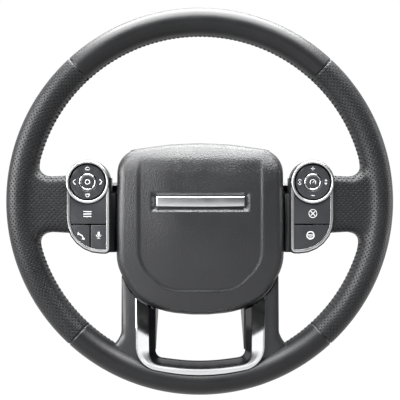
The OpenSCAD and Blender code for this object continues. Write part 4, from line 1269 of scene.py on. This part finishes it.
# %% Keys, frames and housings
for side, keys in (("right", ("upper", "lower")), ("left", ("upper", "outer", "inner"))):
    for key in keys:
        round_node(f"{side}_{key}_key", f"{side}_{key}_cap", "key_plastic", 0.45, f"{side}_{key}_key")
    round_node(f"{side}_key_frame", f"{side}_silver_frame", "satin_silver", 0.6)
    round_node(f"{side}_switch_housing", f"{side}_pack_housing", "black_plastic", 0.35)

# %% [markdown]
# ## Key symbols
# The keys carry plain printed symbols that any wheel could have: arrows, plus and minus, a list, a
# cross, a handset, a microphone and a warm wheel. Each is a few thin strokes and rings, a twentieth of
# a millimetre proud of the key.

# %% Key symbols
KEY_F = sized("right_upper_key")[0].y * -1
PAD_F, CAP_F = 73.75, 74.1
PRINT_ROOT, PRINT_PROUD = 0.2, 0.06
print("key faces at", round(KEY_F, 2))


def symbols(name, body, surface, draw):
    """One piece of print. It starts inside the key and stands a hair proud of its surface."""
    bm = bmesh.new()
    draw(bm, surface - PRINT_ROOT, surface + PRINT_PROUD)
    settle(bm, name, "print_white", body, sharp=30, merge=0)


def left_pad_marks(bm, f0, f1):
    cx, cz = -RING_X, RING_Z
    for s in (-1, 1):
        strokes(
            bm, [(cx + s * 12.1, cz + 2.3), (cx + s * 14.3, cz), (cx + s * 12.1, cz - 2.3)],
            0.8, f0, f1)
    for s in (-1, 1):
        strokes(
            bm, [(cx - 2.1, cz + s * 11.9), (cx + 2.1, cz + s * 11.9), (cx + 2.1, cz + s * 13.2),
                 (cx, cz + s * 15.0), (cx - 2.1, cz + s * 13.2)], 0.7, f0, f1, closed=True)


def right_pad_marks(bm, f0, f1):
    cx, cz = RING_X, RING_Z
    stroke(bm, (cx - 1.6, cz + 13.2), (cx + 1.6, cz + 13.2), 0.6, f0, f1)
    stroke(bm, (cx, cz + 11.6), (cx, cz + 14.8), 0.6, f0, f1)
    stroke(bm, (cx - 1.6, cz - 13.4), (cx + 1.6, cz - 13.4), 0.6, f0, f1)
    for s in (-1, 1):
        strokes(
            bm, [(cx - 14.2, cz + s * 1.6), (cx - 12.9, cz + s * 3.0), (cx - 11.6, cz + s * 1.6)],
            0.55, f0, f1)
        strokes(
            bm, [(cx + 11.8, cz + s * 1.0), (cx + 12.9, cz + s * 2.6), (cx + 14.0, cz + s * 1.0)],
            0.6, f0, f1, closed=True)
    stroke(bm, (cx - 12.9, cz - 0.6), (cx - 12.9, cz + 0.6), 0.6, f0, f1)


def left_cap_marks(bm, f0, f1):
    arc(bm, (-RING_X, RING_Z), 2.2, 0.7, f0, f1)


def right_cap_marks(bm, f0, f1):
    arc(bm, (RING_X, RING_Z - 0.4), 2.8, 0.6, f0, f1, -40, 260)
    stroke(bm, (RING_X, RING_Z - 0.4), (RING_X + 1.3, RING_Z + 0.9), 0.6, f0, f1)


def list_marks(bm, f0, f1):
    cx, cz = -RING_X, -12.3
    for row in (-1, 0, 1):
        stroke(bm, (cx - 3.6, cz + row * 2.4), (cx + 3.6, cz + row * 2.4), 0.85, f0, f1)


def cross_marks(bm, f0, f1):
    cx, cz = RING_X, -11.9
    for s in (-1, 1):
        stroke(bm, (cx - 1.9, cz - s * 1.9), (cx + 1.9, cz + s * 1.9), 0.75, f0, f1)
    arc(bm, (cx, cz), 3.9, 0.6, f0, f1)


def handset_marks(bm, f0, f1):
    cx, cz = -116.6, -33.4
    arc(bm, (cx - 4.4, cz - 4.4), 6.2, 1.0, f0, f1, 12, 66)
    stroke(bm, (cx - 3.3, cz + 1.0), (cx - 3.3, cz + 2.4), 1.3, f0, f1)
    stroke(bm, (cx + 1.0, cz - 3.3), (cx + 2.4, cz - 3.3), 1.3, f0, f1)


def microphone_marks(bm, f0, f1):
    cx, cz = -100.0, -33.2
    stroke(bm, (cx, cz + 0.4), (cx, cz + 2.6), 1.8, f0, f1)
    arc(bm, (cx, cz + 0.6), 2.3, 0.5, f0, f1, 180, 180)
    stroke(bm, (cx, cz - 1.8), (cx, cz - 3.0), 0.5, f0, f1)
    stroke(bm, (cx - 1.2, cz - 3.1), (cx + 1.2, cz - 3.1), 0.5, f0, f1)


def warm_wheel_marks(bm, f0, f1):
    cx, cz = 108.5, -33.4
    arc(bm, (cx, cz), 3.6, 0.95, f0, f1)
    stroke(bm, (cx - 3.4, cz + 0.4), (cx + 3.4, cz + 0.4), 0.8, f0, f1)
    for dx in (-1.4, 0, 1.4):
        stroke(bm, (cx + dx, cz - 2.4), (cx + dx, cz - 0.9), 0.5, f0, f1)


# %% [markdown]
# Each symbol rides on its own key, pad or middle key, so it moves with it when it is pressed.

# %% Print the symbols
for name, body, surface, draw in (
        ("left_pad_symbols", "left_pad", PAD_F, left_pad_marks),
        ("right_pad_symbols", "right_pad", PAD_F, right_pad_marks),
        ("left_cap_symbol", "left_dome", CAP_F, left_cap_marks),
        ("right_cap_symbol", "right_dome", CAP_F, right_cap_marks),
        ("left_upper_symbol", "left_upper_key", KEY_F, list_marks),
        ("right_upper_symbol", "right_upper_key", KEY_F, cross_marks),
        ("left_outer_symbol", "left_outer_key", KEY_F, handset_marks),
        ("left_inner_symbol", "left_inner_key", KEY_F, microphone_marks),
        ("right_lower_symbol", "right_lower_key", KEY_F, warm_wheel_marks)):
    symbols(name, body, surface, draw)
    print("printed", name)

# %% [markdown]
# ## Horn springs
# The coil springs between the cast arms and the airbag's tray shorten when the horn is pressed. Left
# stiff, they would poke through the tray. A copy of the coils, with a mesh of its own, takes the CAD
# node's place.

# %% Horn springs
coils = settle(copy_of("horn_springs", 0.0005), "spring_coils", "steel", sharp=60, merge=0)
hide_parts("horn_springs")
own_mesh(coils)

# %% [markdown]
# ## Folded cushion
# Behind the cover lies the airbag cushion, a folded pack of coated nylon. It is a voxel skin of the
# CAD block, with its corners relaxed, and the folds are shallow waves along its height.

# %% Folded cushion
FOLD_PITCH, FOLD_DEPTH, FOLDED_FROM = 15, 0.6, 56
CUSHION_VOXEL = 0.0022
block = bmesh.new()
block.from_mesh(nodes["airbag_cushion"].data)
bmesh.ops.remove_doubles(block, verts=block.verts, dist=0.000004)
merged = bpy.data.meshes.new("merged")
block.to_mesh(merged)
block.free()
bm = remeshed(merged, CUSHION_VOXEL)
for turn in range(6):
    soften(bm, bm.verts)
bmesh.ops.scale(bm, vec=(1000,) * 3, verts=bm.verts)
for v in bm.verts:
    if -v.co.y > FOLDED_FROM:
        v.co.y += FOLD_DEPTH * (1 - math.cos(v.co.z * math.tau / FOLD_PITCH))
pack = settle(bm, "folded_cushion", "cushion_fabric", "airbag_module", sharp=80, turned=False, merge=0)
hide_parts("airbag_cushion")
print(pack.name, len(pack.data.polygons), "faces")

# %% [markdown]
# ## Floor and backdrop
# The photograph has a white background. The floor and the wall are one sheet with a rounded corner. It
# shows as white to the camera and in reflections, and it still takes a little shadow. In front of the
# wheel its reflection is dimmed by half, because the dark plastics would otherwise look grey.

# %% Stage
bm = bmesh.new()
first = bm.edges.new([bm.verts.new((x, -3.0, -0.6)) for x in (-2.6, 2.6)])
edges = [first]
for reach in ((0, 5.0, 0), (0, 0, 3.6)):
    made = bmesh.ops.extrude_edge_only(bm, edges=edges)
    bmesh.ops.translate(bm, vec=reach, verts=new_verts(made))
    edges = [
        g for g in made["geom"] if isinstance(g, bmesh.types.BMEdge) and g.is_boundary
        and abs(g.verts[0].co.x - g.verts[1].co.x) > 1 and g is not first]
corner = [e for e in bm.edges if not e.is_boundary]
bmesh.ops.bevel(
    bm, geom=corner, offset=0.9, offset_type="OFFSET", segments=16, profile=0.5, affect="EDGES",
    material=-1)
bmesh.ops.recalc_face_normals(bm, faces=bm.faces)
sheet = bpy.data.meshes.new("backdrop")
bm.to_mesh(sheet)
bm.free()
sheet.shade_smooth()
backdrop = bpy.data.objects.new("backdrop", sheet)
bpy.context.scene.collection.objects.link(backdrop)

# %% [markdown]
# The paper is a mix of a matt grey, which takes the shadow, and a white glow. The glow shows only to
# the camera and in reflections, so it puts no light on the wheel.

# %% Backdrop paper
paper, tree, shader = new_material("paper")
shader.inputs["Base Color"].default_value = (0.2, 0.2, 0.2, 1)
shader.inputs["Roughness"].default_value = 0.9
path = tree.nodes.new("ShaderNodeLightPath")
where = tree.nodes.new("ShaderNodeTexCoord")
split = put(tree, "ShaderNodeSeparateXYZ", {0: where.outputs["Object"]})
behind = put(
    tree, "ShaderNodeMapRange",
    {"Value": split.outputs["Y"], "From Min": -0.2, "From Max": 0.6, "To Min": 0.5, "To Max": 1.0})
mirrored = times(tree, path.outputs["Is Glossy Ray"], behind.outputs["Result"])
seen = put(
    tree, "ShaderNodeMath", {0: path.outputs["Is Camera Ray"], 1: mirrored}, operation="MAXIMUM")
seen = put(
    tree, "ShaderNodeMath", {0: seen.outputs[0], 1: path.outputs["Is Transmission Ray"]},
    operation="MAXIMUM")
share = times(tree, seen.outputs[0], 0.9)
glow = put(tree, "ShaderNodeEmission", {"Color": (1, 1, 1, 1), "Strength": 1.08})
mixed = put(tree, "ShaderNodeMixShader", {0: share, 1: shader.outputs[0], 2: glow.outputs[0]})
tree.links.new(mixed.outputs[0], tree.nodes["Material Output"].inputs["Surface"])
sheet.materials.append(paper)
print("backdrop", len(sheet.polygons), "faces")

# %% [markdown]
# ## Light
# The photograph's light is soft. It comes from above, with more from the left than from the right. Area
# lamps give that: the larger the lamp, the softer the shade. One wide lamp above and one at the left
# shape the rim, a narrow one at the right keeps its outline, and a weak one in front, near the floor,
# opens the shadows below the cover.

# %% Light
def lamp(name, spot, aim, size, power):
    data = bpy.data.lights.new(name, "AREA")
    data.shape = "RECTANGLE"
    data.size, data.size_y = size
    data.energy = power
    light = bpy.data.objects.new(name, data)
    light.location = spot
    light.rotation_mode = "QUATERNION"
    light.rotation_quaternion = (Vector(aim) - Vector(spot)).to_track_quat("-Z", "Y")
    bpy.context.scene.collection.objects.link(light)


lamp("top_box", (0, -0.08, 1.25), (0, -0.05, 0), (1.7, 1.8), 156)
lamp("left_box", (-1.26, -0.66, 0.3), (0, -0.05, 0), (1.35, 1.0), 42)
lamp("right_box", (1.35, 0.2, 0.1), (0, -0.05, 0), (0.6, 1.2), 8)
lamp("low_box", (0, -1.9, -0.52), (0, -0.07, -0.12), (2.2, 0.5), 2.6)
print("lamps", len(bpy.data.lights))

# %% [markdown]
# ## Surroundings
# Metal and gloss show what is around them. The world is a ramp from a bright floor below to a dark room
# above, and to the camera it is plain white.

# %% Surroundings
world = bpy.data.worlds.new("studio")
world.use_nodes = True
bpy.context.scene.world = world
tree = world.node_tree
sky = tree.nodes["Background"]
where = tree.nodes.new("ShaderNodeTexCoord")
split = put(tree, "ShaderNodeSeparateXYZ", {0: where.outputs["Generated"]})
up = put(tree, "ShaderNodeMapRange", {"Value": split.outputs["Z"], "From Min": -1.0, "From Max": 1.0})
shade = put(tree, "ShaderNodeValToRGB", {0: up.outputs["Result"]})
ramp = shade.color_ramp
ramp.elements[0].position, ramp.elements[0].color = 0.0, (0.9, 0.9, 0.91, 1)
ramp.elements[1].position, ramp.elements[1].color = 1.0, (0.1, 0.1, 0.11, 1)
for position, value in ((0.43, 0.6), (0.48, 0.1), (0.54, 0.006), (0.8, 0.004)):
    stop = ramp.elements.new(position)
    stop.color = (value, value, value * 1.03, 1)
path = tree.nodes.new("ShaderNodeLightPath")
seen = put(
    tree, "ShaderNodeMix",
    {0: path.outputs["Is Camera Ray"], 6: shade.outputs["Color"], 7: (1, 1, 1, 1)}, data_type="RGBA")
tree.links.new(seen.outputs[2], sky.inputs["Color"])
sky.inputs["Strength"].default_value = 1.0
print("world", world.name)
